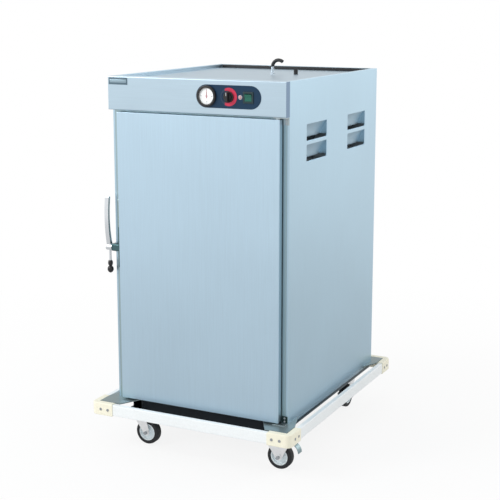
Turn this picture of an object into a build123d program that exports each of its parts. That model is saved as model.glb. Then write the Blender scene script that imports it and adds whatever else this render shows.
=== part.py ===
from build123d import *
import os

# Food warming cart, millimetres. X is to the right, Y to the back, Z up.
# Origin: on the floor, under the centre of the bumper rectangle.
os.makedirs("parts", exist_ok=True)

# Cabinet
cabinet_width = 740.0
cabinet_depth = 880.0
cabinet_height = 1270.0
sheet = 1.2
bend_radius = 2.5
side_wall = 60.0
rear_wall = 55.0
front_overhang = 110.0
back_overhang = 80.0

# Header and control panel
header_height = 126.0
header_projection = 30.0
plate_length = 262.0
plate_height = 84.0
plate_thickness = 2.0
plate_centre_from_middle = 141.0
plate_centre_below_rim = 60.0
dial_face_diameter = 60.0
dial_bezel_diameter = 78.0
dial_bezel_height = 9.0
dial_from_middle = 54.0
knob_from_middle = 144.0
knob_diameter = 40.0
knob_height = 22.0
knob_shaft_diameter = 6.0
ring_diameter = 66.0
ring_width = 11.0
ring_offset = 7.0
lamp_from_middle = 190.0
lamp_diameter = 12.0
switch_from_middle = 222.0
switch_frame_size = 42.0
rocker_size = 27.0
rocker_tilt = 8.0

# Door
door_standoff = 6.0
door_inset_left = 34.0
door_inset_right = 26.0
door_top_gap = 8.0
door_bottom_gap = 8.0
plug_depth = 14.0
plug_clearance = 9.0
gasket_width = 16.0
hinge_axis_inset = 12.0
hinge_pin_diameter = 10.0
hinge_pin_engagement = 16.0
hinge_leaf_thickness = 3.0
hinge_block_size = 22.0
hinge_block_height = 30.0

# Chamber
opening_top_border = 172.0
opening_bottom_border = 60.0
frame_return = 30.0
rack_post_width = 30.0
rack_post_depth = 14.0
ledge_count = 11
ledge_pitch = 80.0
ledge_width = 42.0
ledge_leg = 24.0
ledge_thickness = 1.5
ledge_first_height = 95.0
baffle_drop = 75.0
baffle_opening_diameter = 148.0
impeller_diameter = 220.0
impeller_height = 45.0
impeller_blades = 12
blade_thickness = 2.0
fan_shaft_diameter = 10.0
motor_diameter = 110.0
motor_height = 70.0
heater_ring_diameter = 330.0
heater_tube_diameter = 9.0
pan_width = 480.0
pan_length = 330.0
pan_height = 55.0
pan_wall = 1.5

# Vents
vent_width = 190.0
vent_window_height = 64.0
vent_bridge = 12.0
vent_below_rim = 164.0
vent_centres_from_front = (246.0, 650.0)
vent_scoop_depth = 24.0
vent_flange = 10.0
vent_corner = 6.0
breather_slot_height = 5.0
breather_slot_length = 114.0
breather_slot_pitch = 20.0

# Top
rim_width = 18.0
rim_depth = 14.0
hook_from_middle = 42.0
hook_from_front = 553.0
hook_post_height = 30.0
hook_post_diameter = 12.0
hook_bend_radius = 26.0
hook_sleeve_diameter = 14.0

# Latch
latch_plate_top = 992.0
latch_plate_bottom = 722.0
latch_plate_thickness = 4.0
latch_pivot_height = 799.0
latch_from_side = 15.0
latch_pin_diameter = 8.0
lever_length = 200.0
lever_width = 17.0
lever_thickness = 11.0
lever_boss_diameter = 26.0
hook_arm_thickness = 8.0
strike_pin_diameter = 8.0
strike_from_front = 22.0
strike_drop = 4.0
strike_lip_clearance = 0.4
knob_radius = 12.0
knob_length = 62.0

# Chassis, bumper and casters
caster_height = 140.0
bumper_height = 50.0
bumper_side_overhang = 60.0
bumper_thickness = 26.0
rail_thickness = 20.0
rail_inset = 3.0
rail_height = 44.0
corner_leg = 96.0
corner_radius = 24.0
chassis_tube_width = 40.0
plate_gauge = 4.0
caster_from_side = 80.0
caster_from_front = 30.0
caster_from_back = 60.0
wheel_diameter = 100.0
tyre_width = 32.0
tyre_wall = 15.0
tyre_shoulder = 7.0
axle_diameter = 10.0
caster_trail = 38.0
caster_plate_length = 100.0
caster_plate_width = 84.0
fork_gauge = 3.0
fork_inner_width = 37.0
race_diameter = 58.0
race_height = 14.0
kingpin_diameter = 12.0
pedal_width = 30.0
pedal_gauge = 3.0
pedal_pivot_diameter = 6.0

# Clearances
running_clearance = 0.05
seat_clearance = 0.3
bore_clearance = 0.5

# Places worked out from the sizes above
base_height = caster_height + bumper_height
rim_height = base_height + cabinet_height
half_width = cabinet_width / 2
total_length = front_overhang + cabinet_depth + back_overhang
front_y = -total_length / 2 + front_overhang
back_y = front_y + cabinet_depth
middle_y = (front_y + back_y) / 2
header_bottom = rim_height - header_height
header_front = front_y - header_projection
chamber_half = half_width - side_wall
chamber_top = rim_height - opening_top_border
chamber_floor = base_height + opening_bottom_border
chamber_height = chamber_top - chamber_floor
chamber_back = back_y - rear_wall
bumper_half_x = half_width + bumper_side_overhang
caster_from_middle = half_width - caster_from_side
bumper_half_y = total_length / 2
sheet_round = sheet * 0.8


def save(piece, name, pivot=None, turn=0.0):
    """Label a finished piece and write it to its own file, turned about its pivot where one is given."""
    solid = piece.part.rotate(pivot, turn) if turn else piece.part
    solid.label = name
    export_step(solid, "parts/" + name + ".step")


# Side panels: one bent sheet each, with a hem at the front and back edges, a fold along the top
# and two pairs of vent windows.
hem = 9.0
vent_levels = [rim_height - vent_below_rim - vent_window_height / 2 - k * (vent_window_height + vent_bridge)
               for k in range(2)]
vent_ys = [front_y + c for c in vent_centres_from_front]

for side, side_name in ((-1, "left"), (1, "right")):
    outer_x = side * half_width
    with BuildPart() as side_panel:
        with BuildSketch(Plane.XY.offset(base_height)):
            with BuildLine():
                FilletPolyline(
                    (outer_x - side * hem, front_y + sheet / 2),
                    (outer_x - side * sheet / 2, front_y + sheet / 2),
                    (outer_x - side * sheet / 2, back_y - sheet / 2),
                    (outer_x - side * hem, back_y - sheet / 2),
                    radius=bend_radius,
                )
            trace(line_width=sheet)
        extrude(amount=cabinet_height)
        with BuildSketch(Plane.XY.offset(rim_height - sheet)):
            with Locations((outer_x - side * rim_width / 2, middle_y)):
                Rectangle(rim_width, cabinet_depth - 2 * sheet)
        extrude(amount=sheet)
        top_edge = side_panel.edges().filter_by(Axis.Y).filter_by_position(
            Axis.Z, rim_height - sheet / 4, rim_height + sheet / 4).sort_by(Axis.X)
        fillet(top_edge[-1] if side > 0 else top_edge[0], sheet_round)
        with BuildSketch(Plane.YZ.offset(outer_x - side * 2 * sheet)):
            for vent_y in vent_ys:
                for level in vent_levels:
                    with Locations((vent_y, level)):
                        RectangleRounded(vent_width, vent_window_height, vent_corner)
        extrude(amount=side * 3 * sheet, mode=Mode.SUBTRACT)
    save(side_panel, "side_panel_" + side_name)

# Vent louvres: a pressed plate behind each pair of windows, with two scoops that lean into the
# wall and leave an air slot along the bottom of each window.
scoop_slot = 10.0
scoop_bulge = 0.72
scoop_bulge_rise = 6.0
plate_total = 2 * vent_window_height + vent_bridge + 2 * vent_flange
vent_centre_z = sum(vent_levels) / 2
with BuildPart() as vent_louvres:
    for side in (-1, 1):
        plate_x = side * (half_width - sheet)
        for vent_y in vent_ys:
            with BuildSketch(Plane.YZ.offset(plate_x)):
                with Locations((vent_y, vent_centre_z)):
                    RectangleRounded(vent_width + 2 * vent_flange, plate_total, vent_corner)
                for level in vent_levels:
                    with Locations((vent_y, level)):
                        RectangleRounded(vent_width - 2 * sheet, vent_window_height - 2 * sheet, vent_corner,
                                         mode=Mode.SUBTRACT)
            extrude(amount=-side * sheet)
            start = plate_x - side * sheet
            for level in vent_levels:
                low = level - vent_window_height / 2 + scoop_slot
                for wall, mode in ((0, Mode.ADD), (sheet, Mode.SUBTRACT)):
                    top = level + vent_window_height / 2 - wall
                    deep = plate_x - side * (vent_scoop_depth - wall)
                    bulge = (start + (deep - start) * scoop_bulge, level + scoop_bulge_rise - wall)
                    with BuildSketch(Plane.XZ.offset(-(vent_y - vent_width / 2 + wall))):
                        with BuildLine():
                            ThreePointArc((start, top), bulge, (deep, low))
                            Polyline((deep, low), (start, low), (start, top))
                        make_face()
                    extrude(amount=-(vent_width - 2 * wall), mode=mode)
save(vent_louvres, "vent_louvres")

# Front frame: flat surround of the door opening, with edges folded back to meet the liner.
panel_gap = 0.5
frame_half = half_width - hem - panel_gap
frame_lap = 40.0
frame_top = header_bottom + frame_lap
with BuildPart() as front_frame:
    with BuildSketch(Plane.XZ.offset(-front_y)):
        with Locations((0, (base_height + frame_top) / 2)):
            Rectangle(2 * frame_half, frame_top - base_height)
        with Locations((0, (chamber_floor + chamber_top) / 2)):
            Rectangle(2 * chamber_half, chamber_height, mode=Mode.SUBTRACT)
    extrude(amount=-sheet)
    with BuildSketch(Plane.XZ.offset(-front_y)):
        with Locations((0, (chamber_floor + chamber_top) / 2)):
            Rectangle(2 * (chamber_half + sheet), chamber_height + 2 * sheet)
            Rectangle(2 * chamber_half, chamber_height, mode=Mode.SUBTRACT)
    extrude(amount=-frame_return)
save(front_frame, "front_frame")

# Floor panel
floor_half = half_width - sheet
with BuildPart() as floor_panel:
    with BuildSketch(Plane.XY.offset(base_height)):
        with Locations((0, middle_y)):
            Rectangle(2 * floor_half, cabinet_depth - 2 * sheet)
            for x_sign in (-1, 1):
                for y_sign in (-1, 1):
                    with Locations((x_sign * floor_half, y_sign * (cabinet_depth / 2 - sheet))):
                        Rectangle(2 * bend_radius, 2 * bend_radius, mode=Mode.SUBTRACT)
    extrude(amount=sheet)
save(floor_panel, "floor_panel")

# Rear panel: between the rear hems, folded forward along the top to make the rear rim.
inlet_above_floor_panel = 160.0
inlet_height = base_height + inlet_above_floor_panel
inlet_from_middle = -250.0
gland_thread_diameter = 24.0
with BuildPart() as rear_panel:
    with BuildSketch(Plane.XZ.offset(-back_y)):
        with Locations((0, (base_height + rim_height) / 2)):
            Rectangle(2 * frame_half, cabinet_height)
        with Locations((inlet_from_middle, inlet_height)):
            Circle(gland_thread_diameter / 2 + bore_clearance, mode=Mode.SUBTRACT)
        for side in (-1, 1):
            with Locations((side * frame_half, rim_height)):
                Rectangle(2 * (frame_half - half_width + rim_width), 2 * sheet, mode=Mode.SUBTRACT)
    extrude(amount=sheet)
    with BuildSketch(Plane.XY.offset(rim_height - sheet)):
        with Locations((0, back_y - rim_width / 2)):
            Rectangle(2 * (half_width - rim_width - panel_gap), rim_width)
    extrude(amount=sheet)
save(rear_panel, "rear_panel")

# Top panel: a shallow tray that hangs below the folded rims.
tray_half = half_width - rim_width + sheet
tray_length = cabinet_depth - 2 * rim_width + 2 * sheet
with BuildPart() as top_panel:
    with BuildSketch(Plane.XY.offset(rim_height - rim_depth - sheet)):
        with Locations((0, middle_y)):
            Rectangle(2 * tray_half, tray_length)
    extrude(amount=rim_depth)
    fillet(top_panel.edges().filter_by(Axis.Z), bend_radius)
    offset(amount=-sheet, openings=top_panel.faces().sort_by(Axis.Z)[-1])
    with BuildSketch(Plane.XY.offset(rim_height - rim_depth - sheet)):
        with Locations((hook_from_middle, front_y + hook_from_front)):
            Circle(hook_post_diameter / 2 + bore_clearance)
    extrude(amount=sheet, mode=Mode.SUBTRACT)
save(top_panel, "top_panel")

# Header: one bent channel with closed ends, cut out behind the controls.
panel_front = header_front
plate_front = header_front - plate_thickness
control_z = rim_height - plate_centre_below_rim
plate_edge_round = 0.8
rocker_clearance = 0.5
switch_tube_wall = 2.0
switch_tube_size = rocker_size + 2 * (rocker_clearance + switch_tube_wall)
lamp_stem_diameter = 9.0


def control_holes(mode):
    """The holes that the header and the control plate share."""
    with Locations((knob_from_middle, control_z)):
        Circle(knob_shaft_diameter / 2 + bore_clearance, mode=mode)
    with Locations((lamp_from_middle, control_z)):
        Circle(lamp_stem_diameter / 2 + bore_clearance, mode=mode)
    with Locations((switch_from_middle, control_z)):
        Rectangle(switch_tube_size + bore_clearance, switch_tube_size + bore_clearance, mode=mode)


with BuildPart() as header_panel:
    with BuildSketch(Plane.YZ.offset(-half_width)):
        with BuildLine():
            FilletPolyline(
                (front_y, header_bottom + sheet / 2),
                (header_front + sheet / 2, header_bottom + sheet / 2),
                (header_front + sheet / 2, rim_height - sheet / 2),
                (front_y, rim_height - sheet / 2),
                radius=bend_radius,
            )
        trace(line_width=sheet)
    extrude(amount=cabinet_width)
    for side in (-1, 1):
        with BuildSketch(Plane.YZ.offset(side * (half_width - sheet))):
            with Locations(((header_front + front_y) / 2, rim_height - header_height / 2)):
                RectangleRounded(header_projection, header_height, bend_radius)
            with Locations((front_y - bend_radius, rim_height - header_height / 2)):
                Rectangle(2 * bend_radius, header_height)
        extrude(amount=side * sheet)
    with BuildSketch(Plane.XY.offset(rim_height - sheet)):
        with Locations((0, front_y + rim_width / 2)):
            Rectangle(2 * (half_width - rim_width - panel_gap), rim_width)
    extrude(amount=sheet)
    with BuildSketch(Plane.XZ.offset(-header_front - 2 * sheet)):
        control_holes(Mode.ADD)
    extrude(amount=3 * sheet, mode=Mode.SUBTRACT)
save(header_panel, "header_panel")

with BuildPart() as control_plate:
    with BuildSketch(Plane.XZ.offset(-panel_front)):
        with Locations((plate_centre_from_middle, control_z)):
            SlotOverall(plate_length, plate_height)
        control_holes(Mode.SUBTRACT)
    extrude(amount=plate_thickness)
    fillet(control_plate.faces().sort_by(Axis.Y)[0].outer_wire().edges(), plate_edge_round)
save(control_plate, "control_plate")

# Thermometer: bezel, face with its spindle, and needle.
dial_centre = Plane(origin=(dial_from_middle, plate_front, control_z), x_dir=(1, 0, 0), z_dir=(0, -1, 0))
face_thickness = 2.0
spindle_diameter = 3.0
needle_thickness = 1.0
bezel_lip = 1.5
bezel_round = 3.5
needle_tail = 8.0
needle_reach = 24.0
needle_tail_half = 1.6
needle_tip_half = 0.4
needle_boss = 2.0
with BuildPart() as dial_bezel:
    with BuildSketch(dial_centre):
        Circle(dial_bezel_diameter / 2)
        Circle(dial_face_diameter / 2 + seat_clearance / 2, mode=Mode.SUBTRACT)
    extrude(amount=dial_bezel_height)
    front_edges = dial_bezel.faces().sort_by(Axis.Y)[0].edges()
    fillet(front_edges.sort_by(SortBy.RADIUS)[-1], bezel_round)
    chamfer(dial_bezel.faces().sort_by(Axis.Y)[0].inner_wires()[0].edges(), bezel_lip)
save(dial_bezel, "dial_bezel")

with BuildPart() as dial_face:
    with BuildSketch(dial_centre):
        Circle(dial_face_diameter / 2)
    extrude(amount=face_thickness)
    with BuildSketch(dial_centre.offset(face_thickness)):
        Circle(spindle_diameter / 2)
    extrude(amount=seat_clearance + 2 * needle_thickness)
save(dial_face, "dial_face")

with BuildPart() as dial_pointer:
    with BuildSketch(dial_centre.offset(face_thickness + seat_clearance)):
        with BuildLine():
            Polyline((-needle_tail_half, -needle_tail), (-needle_tip_half, needle_reach),
                     (needle_tip_half, needle_reach), (needle_tail_half, -needle_tail), close=True)
        make_face()
        Circle(spindle_diameter / 2 + needle_boss)
        Circle(spindle_diameter / 2 + running_clearance, mode=Mode.SUBTRACT)
    extrude(amount=needle_thickness)
save(dial_pointer, "dial_pointer")

# Thermostat: body behind the header with its shaft, scale ring and knob.
knob_centre = Plane(origin=(knob_from_middle, plate_front, control_z), x_dir=(1, 0, 0), z_dir=(0, -1, 0))
body_width = 46.0
body_depth = 34.0
knob_bore_depth = 14.0
knob_lift = 1.5
shaft_end_gap = 1.0
shaft_proud = knob_lift + knob_bore_depth - shaft_end_gap
body_corner = 4.0
ring_thickness = 1.2
with BuildPart() as thermostat_body:
    with BuildSketch(knob_centre.offset(-plate_thickness - sheet)):
        RectangleRounded(body_width, body_width, body_corner)
    extrude(amount=-body_depth)
    with BuildSketch(knob_centre.offset(-plate_thickness - sheet)):
        Circle(knob_shaft_diameter / 2)
    extrude(amount=plate_thickness + sheet + shaft_proud)
save(thermostat_body, "thermostat_body")

with BuildPart() as scale_ring:
    with BuildSketch(knob_centre):
        Circle(ring_diameter / 2)
        with Locations((-ring_offset, 0)):
            Circle(ring_diameter / 2 - ring_width, mode=Mode.SUBTRACT)
    extrude(amount=ring_thickness)
save(scale_ring, "scale_ring")

skirt_height = 6.0
grip_width = 11.0
grip_end_inset = 1.5
knob_step = 6.0
knob_step_inset = 6.0
knob_round = 2.0
with BuildPart() as thermostat_knob:
    with BuildSketch(knob_centre.offset(knob_lift)):
        Circle(knob_diameter / 2)
    extrude(amount=skirt_height)
    fillet(thermostat_knob.faces().sort_by(Axis.Y)[0].edges(), knob_round)
    with BuildSketch(knob_centre.offset(knob_lift)):
        Circle(knob_diameter / 2 - knob_step_inset)
    extrude(amount=skirt_height + knob_step)
    with BuildSketch(knob_centre.offset(knob_lift)):
        SlotOverall(knob_diameter - 2 * grip_end_inset, grip_width, rotation=90)
    extrude(amount=knob_height)
    fillet(thermostat_knob.faces().sort_by(Axis.Y)[0].edges(), knob_round)
    with BuildSketch(knob_centre.offset(knob_lift)):
        Circle(knob_shaft_diameter / 2 + running_clearance)
    extrude(amount=knob_bore_depth, mode=Mode.SUBTRACT)
save(thermostat_knob, "thermostat_knob")

# Pilot lamp: domed lens on a stem through the panel.
lamp_centre = Plane(origin=(lamp_from_middle, plate_front, control_z), x_dir=(1, 0, 0), z_dir=(0, -1, 0))
lamp_flange = 1.5
lamp_dome = 3.5
lamp_stem_length = 18.0
with BuildPart() as pilot_lamp:
    with BuildSketch(lamp_centre):
        Circle(lamp_diameter / 2)
    extrude(amount=lamp_flange + lamp_dome)
    fillet(pilot_lamp.faces().sort_by(Axis.Y)[0].edges(), lamp_dome)
    with BuildSketch(lamp_centre):
        Circle(lamp_stem_diameter / 2)
    extrude(amount=-(plate_thickness + sheet + lamp_stem_length))
save(pilot_lamp, "pilot_lamp")

# Rocker switch: frame with a tube through the panel and a cross pin, and the tilted rocker.
switch_centre = Plane(origin=(switch_from_middle, plate_front, control_z), x_dir=(1, 0, 0), z_dir=(0, -1, 0))
switch_flange = 3.0
switch_tube_depth = 20.0
rocker_pin_diameter = 3.0
rocker_pin_depth = 2.0
switch_frame_corner = 3.0
switch_frame_round = 1.5
switch_tube_corner = 1.0
with BuildPart() as switch_frame:
    with BuildSketch(switch_centre):
        RectangleRounded(switch_frame_size, switch_frame_size, switch_frame_corner)
    extrude(amount=switch_flange)
    fillet(switch_frame.faces().sort_by(Axis.Y)[0].edges(), switch_frame_round)
    with BuildSketch(switch_centre):
        RectangleRounded(switch_tube_size, switch_tube_size, switch_tube_corner)
    extrude(amount=-switch_tube_depth)
    with BuildSketch(switch_centre.offset(switch_flange)):
        Rectangle(rocker_size + 2 * rocker_clearance, rocker_size + 2 * rocker_clearance)
    extrude(amount=-(switch_flange + switch_tube_depth - switch_tube_wall), mode=Mode.SUBTRACT)
    with BuildSketch(Plane.YZ.offset(switch_from_middle - rocker_size / 2 - 2 * rocker_clearance)):
        with Locations((plate_front + rocker_pin_depth, control_z)):
            Circle(rocker_pin_diameter / 2)
    extrude(amount=rocker_size + 4 * rocker_clearance)
save(switch_frame, "switch_frame")

rocker_axis = Plane(origin=(switch_from_middle - rocker_size / 2, plate_front + rocker_pin_depth, control_z),
                    x_dir=Vector(0, 1, 0).rotate(Axis.X, rocker_tilt), z_dir=(1, 0, 0))
rocker_rise = 6.5
rocker_valley = 4.5
rocker_body = 8.0
rocker_shoulder = 2.4
rocker_end_inset = 1.0
with BuildPart() as switch_rocker:
    with BuildSketch(rocker_axis):
        with BuildLine():
            half = rocker_size / 2 - rocker_end_inset
            heel = half - rocker_end_inset
            Polyline((-rocker_rise, half), (-rocker_valley, 0), (-rocker_rise, -half), (rocker_shoulder, -heel),
                     (rocker_body, 0), (rocker_shoulder, heel), close=True)
        make_face()
        Circle(rocker_pin_diameter / 2 + running_clearance, mode=Mode.SUBTRACT)
    extrude(amount=rocker_size)
save(switch_rocker, "switch_rocker")

# Chamber liner: five flat sheets that butt at the edges.
liner_front = front_y + frame_return
liner_length = chamber_back - liner_front
liner_middle_y = (liner_front + chamber_back) / 2
with BuildPart() as liner_sides:
    for side in (-1, 1):
        with BuildSketch(Plane.YZ.offset(side * chamber_half)):
            with Locations((liner_middle_y, (chamber_floor + chamber_top) / 2)):
                Rectangle(liner_length, chamber_height)
            for vent_y in vent_ys:
                with Locations((vent_y, chamber_top - baffle_drop / 2)):
                    with GridLocations(0, breather_slot_pitch, 1, 3):
                        SlotOverall(breather_slot_length, breather_slot_height, mode=Mode.SUBTRACT)
        extrude(amount=side * sheet)
save(liner_sides, "liner_sides")

with BuildPart() as liner_rear:
    with BuildSketch(Plane.XZ.offset(-chamber_back)):
        with Locations((0, (chamber_floor + chamber_top) / 2)):
            Rectangle(2 * (chamber_half + sheet), chamber_height + 2 * sheet)
    extrude(amount=-sheet)
save(liner_rear, "liner_rear")

fan_centre_y = liner_middle_y
heater_gap_angle = 16.0
heater_end = Vector(heater_ring_diameter / 2, 0, 0)
heater_ends = [heater_end.rotate(Axis.Z, a * heater_gap_angle / 2 - 90) for a in (-1, 1)]
with BuildPart() as liner_top:
    with BuildSketch(Plane.XY.offset(chamber_top)):
        with Locations((0, liner_middle_y)):
            Rectangle(2 * (chamber_half + sheet), liner_length)
        with Locations((0, fan_centre_y)):
            Circle(fan_shaft_diameter / 2 + bore_clearance, mode=Mode.SUBTRACT)
            with Locations(*[(e.X, e.Y) for e in heater_ends]):
                Circle(heater_tube_diameter / 2 + bore_clearance / 2, mode=Mode.SUBTRACT)
    extrude(amount=sheet)
save(liner_top, "liner_top")

with BuildPart() as liner_floor:
    with BuildSketch(Plane.XY.offset(chamber_floor - sheet)):
        with Locations((0, liner_middle_y)):
            Rectangle(2 * (chamber_half + sheet), liner_length)
    extrude(amount=sheet)
save(liner_floor, "liner_floor")

# Insulation: slabs that fill the walls, notched round the vents, the motor and the cable entry.
slab_end_gap = 5.0
slab_vent_gap = 2.0
top_slab_thickness = 40.0
slab_bottom = base_height + sheet
inlet_pocket_diameter = 44.0
with BuildPart() as insulation:
    for side in (-1, 1):
        with BuildSketch(Plane.YZ.offset(side * (chamber_half + sheet))):
            with Locations((middle_y, (slab_bottom + chamber_top) / 2)):
                Rectangle(cabinet_depth - 2 * slab_end_gap, chamber_top - slab_bottom)
            for vent_y in vent_ys:
                with Locations((vent_y, chamber_top)):
                    Rectangle(vent_width + 2 * (vent_flange + slab_vent_gap),
                              2 * (chamber_top - vent_centre_z + plate_total / 2 + slab_vent_gap),
                              mode=Mode.SUBTRACT)
        extrude(amount=side * (half_width - chamber_half - 2 * sheet))
    with BuildSketch(Plane.XZ.offset(-chamber_back - sheet)):
        with Locations((0, (slab_bottom + chamber_top) / 2)):
            Rectangle(2 * (chamber_half + sheet), chamber_top - slab_bottom)
        with Locations((inlet_from_middle, inlet_height)):
            Circle(inlet_pocket_diameter / 2, mode=Mode.SUBTRACT)
    extrude(amount=-(rear_wall - 2 * sheet))
    with BuildSketch(Plane.XY.offset(slab_bottom)):
        with Locations((0, liner_middle_y)):
            Rectangle(2 * (chamber_half + sheet), liner_length)
    extrude(amount=opening_bottom_border - 2 * sheet)
    with BuildSketch(Plane.XY.offset(chamber_top + sheet)):
        with Locations((0, liner_middle_y)):
            Rectangle(2 * (chamber_half + sheet), liner_length)
        with Locations((0, fan_centre_y)):
            Circle(motor_diameter / 2 + bore_clearance, mode=Mode.SUBTRACT)
            with Locations(*[(e.X, e.Y) for e in heater_ends]):
                Circle(heater_tube_diameter / 2 + bore_clearance, mode=Mode.SUBTRACT)
    extrude(amount=top_slab_thickness)
save(insulation, "insulation")

# Tray rack: open channel posts on the chamber sides and angle ledges across them.
baffle_bottom = chamber_top - baffle_drop - sheet
post_setback = 70.0
post_ys = (liner_front + post_setback, liner_middle_y, chamber_back - post_setback)
ledge_length = liner_length - post_setback
with BuildPart() as rack_posts:
    for side in (-1, 1):
        for post_y in post_ys:
            with BuildSketch(Plane.XY.offset(chamber_floor)):
                with Locations((side * (chamber_half - rack_post_depth / 2), post_y)):
                    Rectangle(rack_post_depth, rack_post_width)
                with Locations((side * (chamber_half - (rack_post_depth - ledge_thickness) / 2), post_y)):
                    Rectangle(rack_post_depth - ledge_thickness, rack_post_width - 2 * ledge_thickness,
                              mode=Mode.SUBTRACT)
            extrude(amount=baffle_bottom - chamber_floor)
save(rack_posts, "rack_posts")

ledge_x = chamber_half - rack_post_depth
ledge_levels = [chamber_floor + ledge_first_height + k * ledge_pitch for k in range(ledge_count)]
with BuildPart() as tray_ledges:
    for side in (-1, 1):
        for level in ledge_levels:
            with BuildSketch(Plane.XZ.offset(-(liner_middle_y - ledge_length / 2))):
                with BuildLine():
                    FilletPolyline(
                        (side * (ledge_x - ledge_thickness / 2), level + ledge_leg),
                        (side * (ledge_x - ledge_thickness / 2), level + ledge_thickness / 2),
                        (side * (ledge_x - ledge_width), level + ledge_thickness / 2),
                        radius=bend_radius,
                    )
                trace(line_width=ledge_thickness)
            extrude(amount=-ledge_length)
save(tray_ledges, "tray_ledges")

# Fan: motor on the chamber's roof, radial impeller below it, and the baffle plate.
shaft_drop = 42.0
impeller_drop = 12.0
impeller_hub_diameter = 30.0
impeller_hub_height = 28.0
motor_round = 6.0
impeller_blade_length = 44.0
impeller_blade_inset = 24.0
impeller_blade_angle = 38.0
impeller_ring_width = 34.0
with BuildPart() as fan_motor:
    with BuildSketch(Plane.XY.offset(chamber_top + sheet)):
        with Locations((0, fan_centre_y)):
            Circle(motor_diameter / 2)
    extrude(amount=motor_height)
    fillet(fan_motor.faces().sort_by(Axis.Z)[-1].edges(), motor_round)
    with BuildSketch(Plane.XY.offset(chamber_top + sheet)):
        with Locations((0, fan_centre_y)):
            Circle(fan_shaft_diameter / 2)
    extrude(amount=-(shaft_drop + sheet))
save(fan_motor, "fan_motor")

impeller_top = chamber_top - impeller_drop
impeller_plate = 2.0
with BuildPart() as fan_impeller:
    with BuildSketch(Plane.XY.offset(impeller_top)):
        with Locations((0, fan_centre_y)):
            Circle(impeller_diameter / 2)
    extrude(amount=-impeller_plate)
    with BuildSketch(Plane.XY.offset(impeller_top)):
        with Locations((0, fan_centre_y)):
            Circle(impeller_hub_diameter / 2)
    extrude(amount=-impeller_hub_height)
    with BuildSketch(Plane.XY.offset(impeller_top)):
        with Locations((0, fan_centre_y)):
            with PolarLocations(impeller_diameter / 2 - impeller_blade_inset, impeller_blades):
                Rectangle(impeller_blade_length, blade_thickness, rotation=impeller_blade_angle)
    extrude(amount=-impeller_height)
    with BuildSketch(Plane.XY.offset(impeller_top - impeller_height)):
        with Locations((0, fan_centre_y)):
            Circle(impeller_diameter / 2)
            Circle(impeller_diameter / 2 - impeller_ring_width, mode=Mode.SUBTRACT)
    extrude(amount=impeller_plate)
    with BuildSketch(Plane.XY.offset(impeller_top)):
        with Locations((0, fan_centre_y)):
            Circle(fan_shaft_diameter / 2 + running_clearance)
    extrude(amount=-impeller_hub_height, mode=Mode.SUBTRACT)
save(fan_impeller, "fan_impeller")

baffle_side_gap = 1.0
baffle_front_gap = 30.0
baffle_slot_inset = 40.0
baffle_slot_pitch = 110.0
baffle_slot_length = 80.0
baffle_slot_width = 12.0
baffle_slot_count = 5
baffle_half = chamber_half - baffle_side_gap
baffle_front = liner_front + baffle_front_gap
baffle_back = chamber_back - seat_clearance
with BuildPart() as fan_baffle:
    with BuildSketch(Plane.XY.offset(chamber_top - baffle_drop - sheet)):
        with Locations((0, (baffle_front + baffle_back) / 2)):
            Rectangle(2 * baffle_half, baffle_back - baffle_front)
        with Locations((0, fan_centre_y)):
            Circle(baffle_opening_diameter / 2, mode=Mode.SUBTRACT)
        for side in (-1, 1):
            with Locations((side * (baffle_half - baffle_slot_inset), liner_middle_y)):
                with GridLocations(0, baffle_slot_pitch, 1, baffle_slot_count):
                    SlotOverall(baffle_slot_length, baffle_slot_width, rotation=90, mode=Mode.SUBTRACT)
    extrude(amount=sheet)
    for edge_y in (baffle_front, baffle_back - sheet):
        with BuildSketch(Plane.XZ.offset(-edge_y)):
            with Locations((0, chamber_top - baffle_drop / 2)):
                Rectangle(2 * baffle_half, baffle_drop)
        extrude(amount=-sheet)
save(fan_baffle, "fan_baffle")

# Heating element: a ring of tube round the impeller, with both ends up through the roof.
heater_drop = 38.0
heater_terminal = 22.0
heater_z = chamber_top - heater_drop
heater_leg_top = chamber_top + sheet + top_slab_thickness + heater_terminal
with BuildPart() as heating_element:
    with BuildLine(Plane(origin=(0, fan_centre_y, heater_z))) as ring_path:
        CenterArc((0, 0), heater_ring_diameter / 2, heater_gap_angle / 2 - 90, 360 - heater_gap_angle)
    with BuildSketch(ring_path.line ^ 0):
        Circle(heater_tube_diameter / 2)
    sweep()
    with Locations(*[(e.X, fan_centre_y + e.Y, heater_z) for e in heater_ends]):
        Sphere(heater_tube_diameter / 2)
        Cylinder(heater_tube_diameter / 2, heater_leg_top - heater_z,
                 align=(Align.CENTER, Align.CENTER, Align.MIN))
save(heating_element, "heating_element")

# Water pan: lifts out, stands on the chamber floor.
pan_rim = 10.0
pan_corner = 22.0
pan_foot_round = 8.0
with BuildPart() as water_pan:
    with BuildSketch(Plane.XY.offset(chamber_floor)):
        with Locations((0, liner_middle_y)):
            RectangleRounded(pan_width, pan_length, pan_corner)
    extrude(amount=pan_height)
    fillet(water_pan.faces().sort_by(Axis.Z)[0].edges(), pan_foot_round)
    offset(amount=-pan_wall, openings=water_pan.faces().sort_by(Axis.Z)[-1])
    with BuildSketch(Plane.XY.offset(chamber_floor + pan_height - pan_wall)):
        with Locations((0, liner_middle_y)):
            RectangleRounded(pan_width + 2 * pan_rim, pan_length + 2 * pan_rim, pan_corner + pan_rim)
            RectangleRounded(pan_width - 2 * pan_wall, pan_length - 2 * pan_wall, pan_corner - pan_wall,
                             mode=Mode.SUBTRACT)
    extrude(amount=pan_wall)
save(water_pan, "water_pan")

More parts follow.
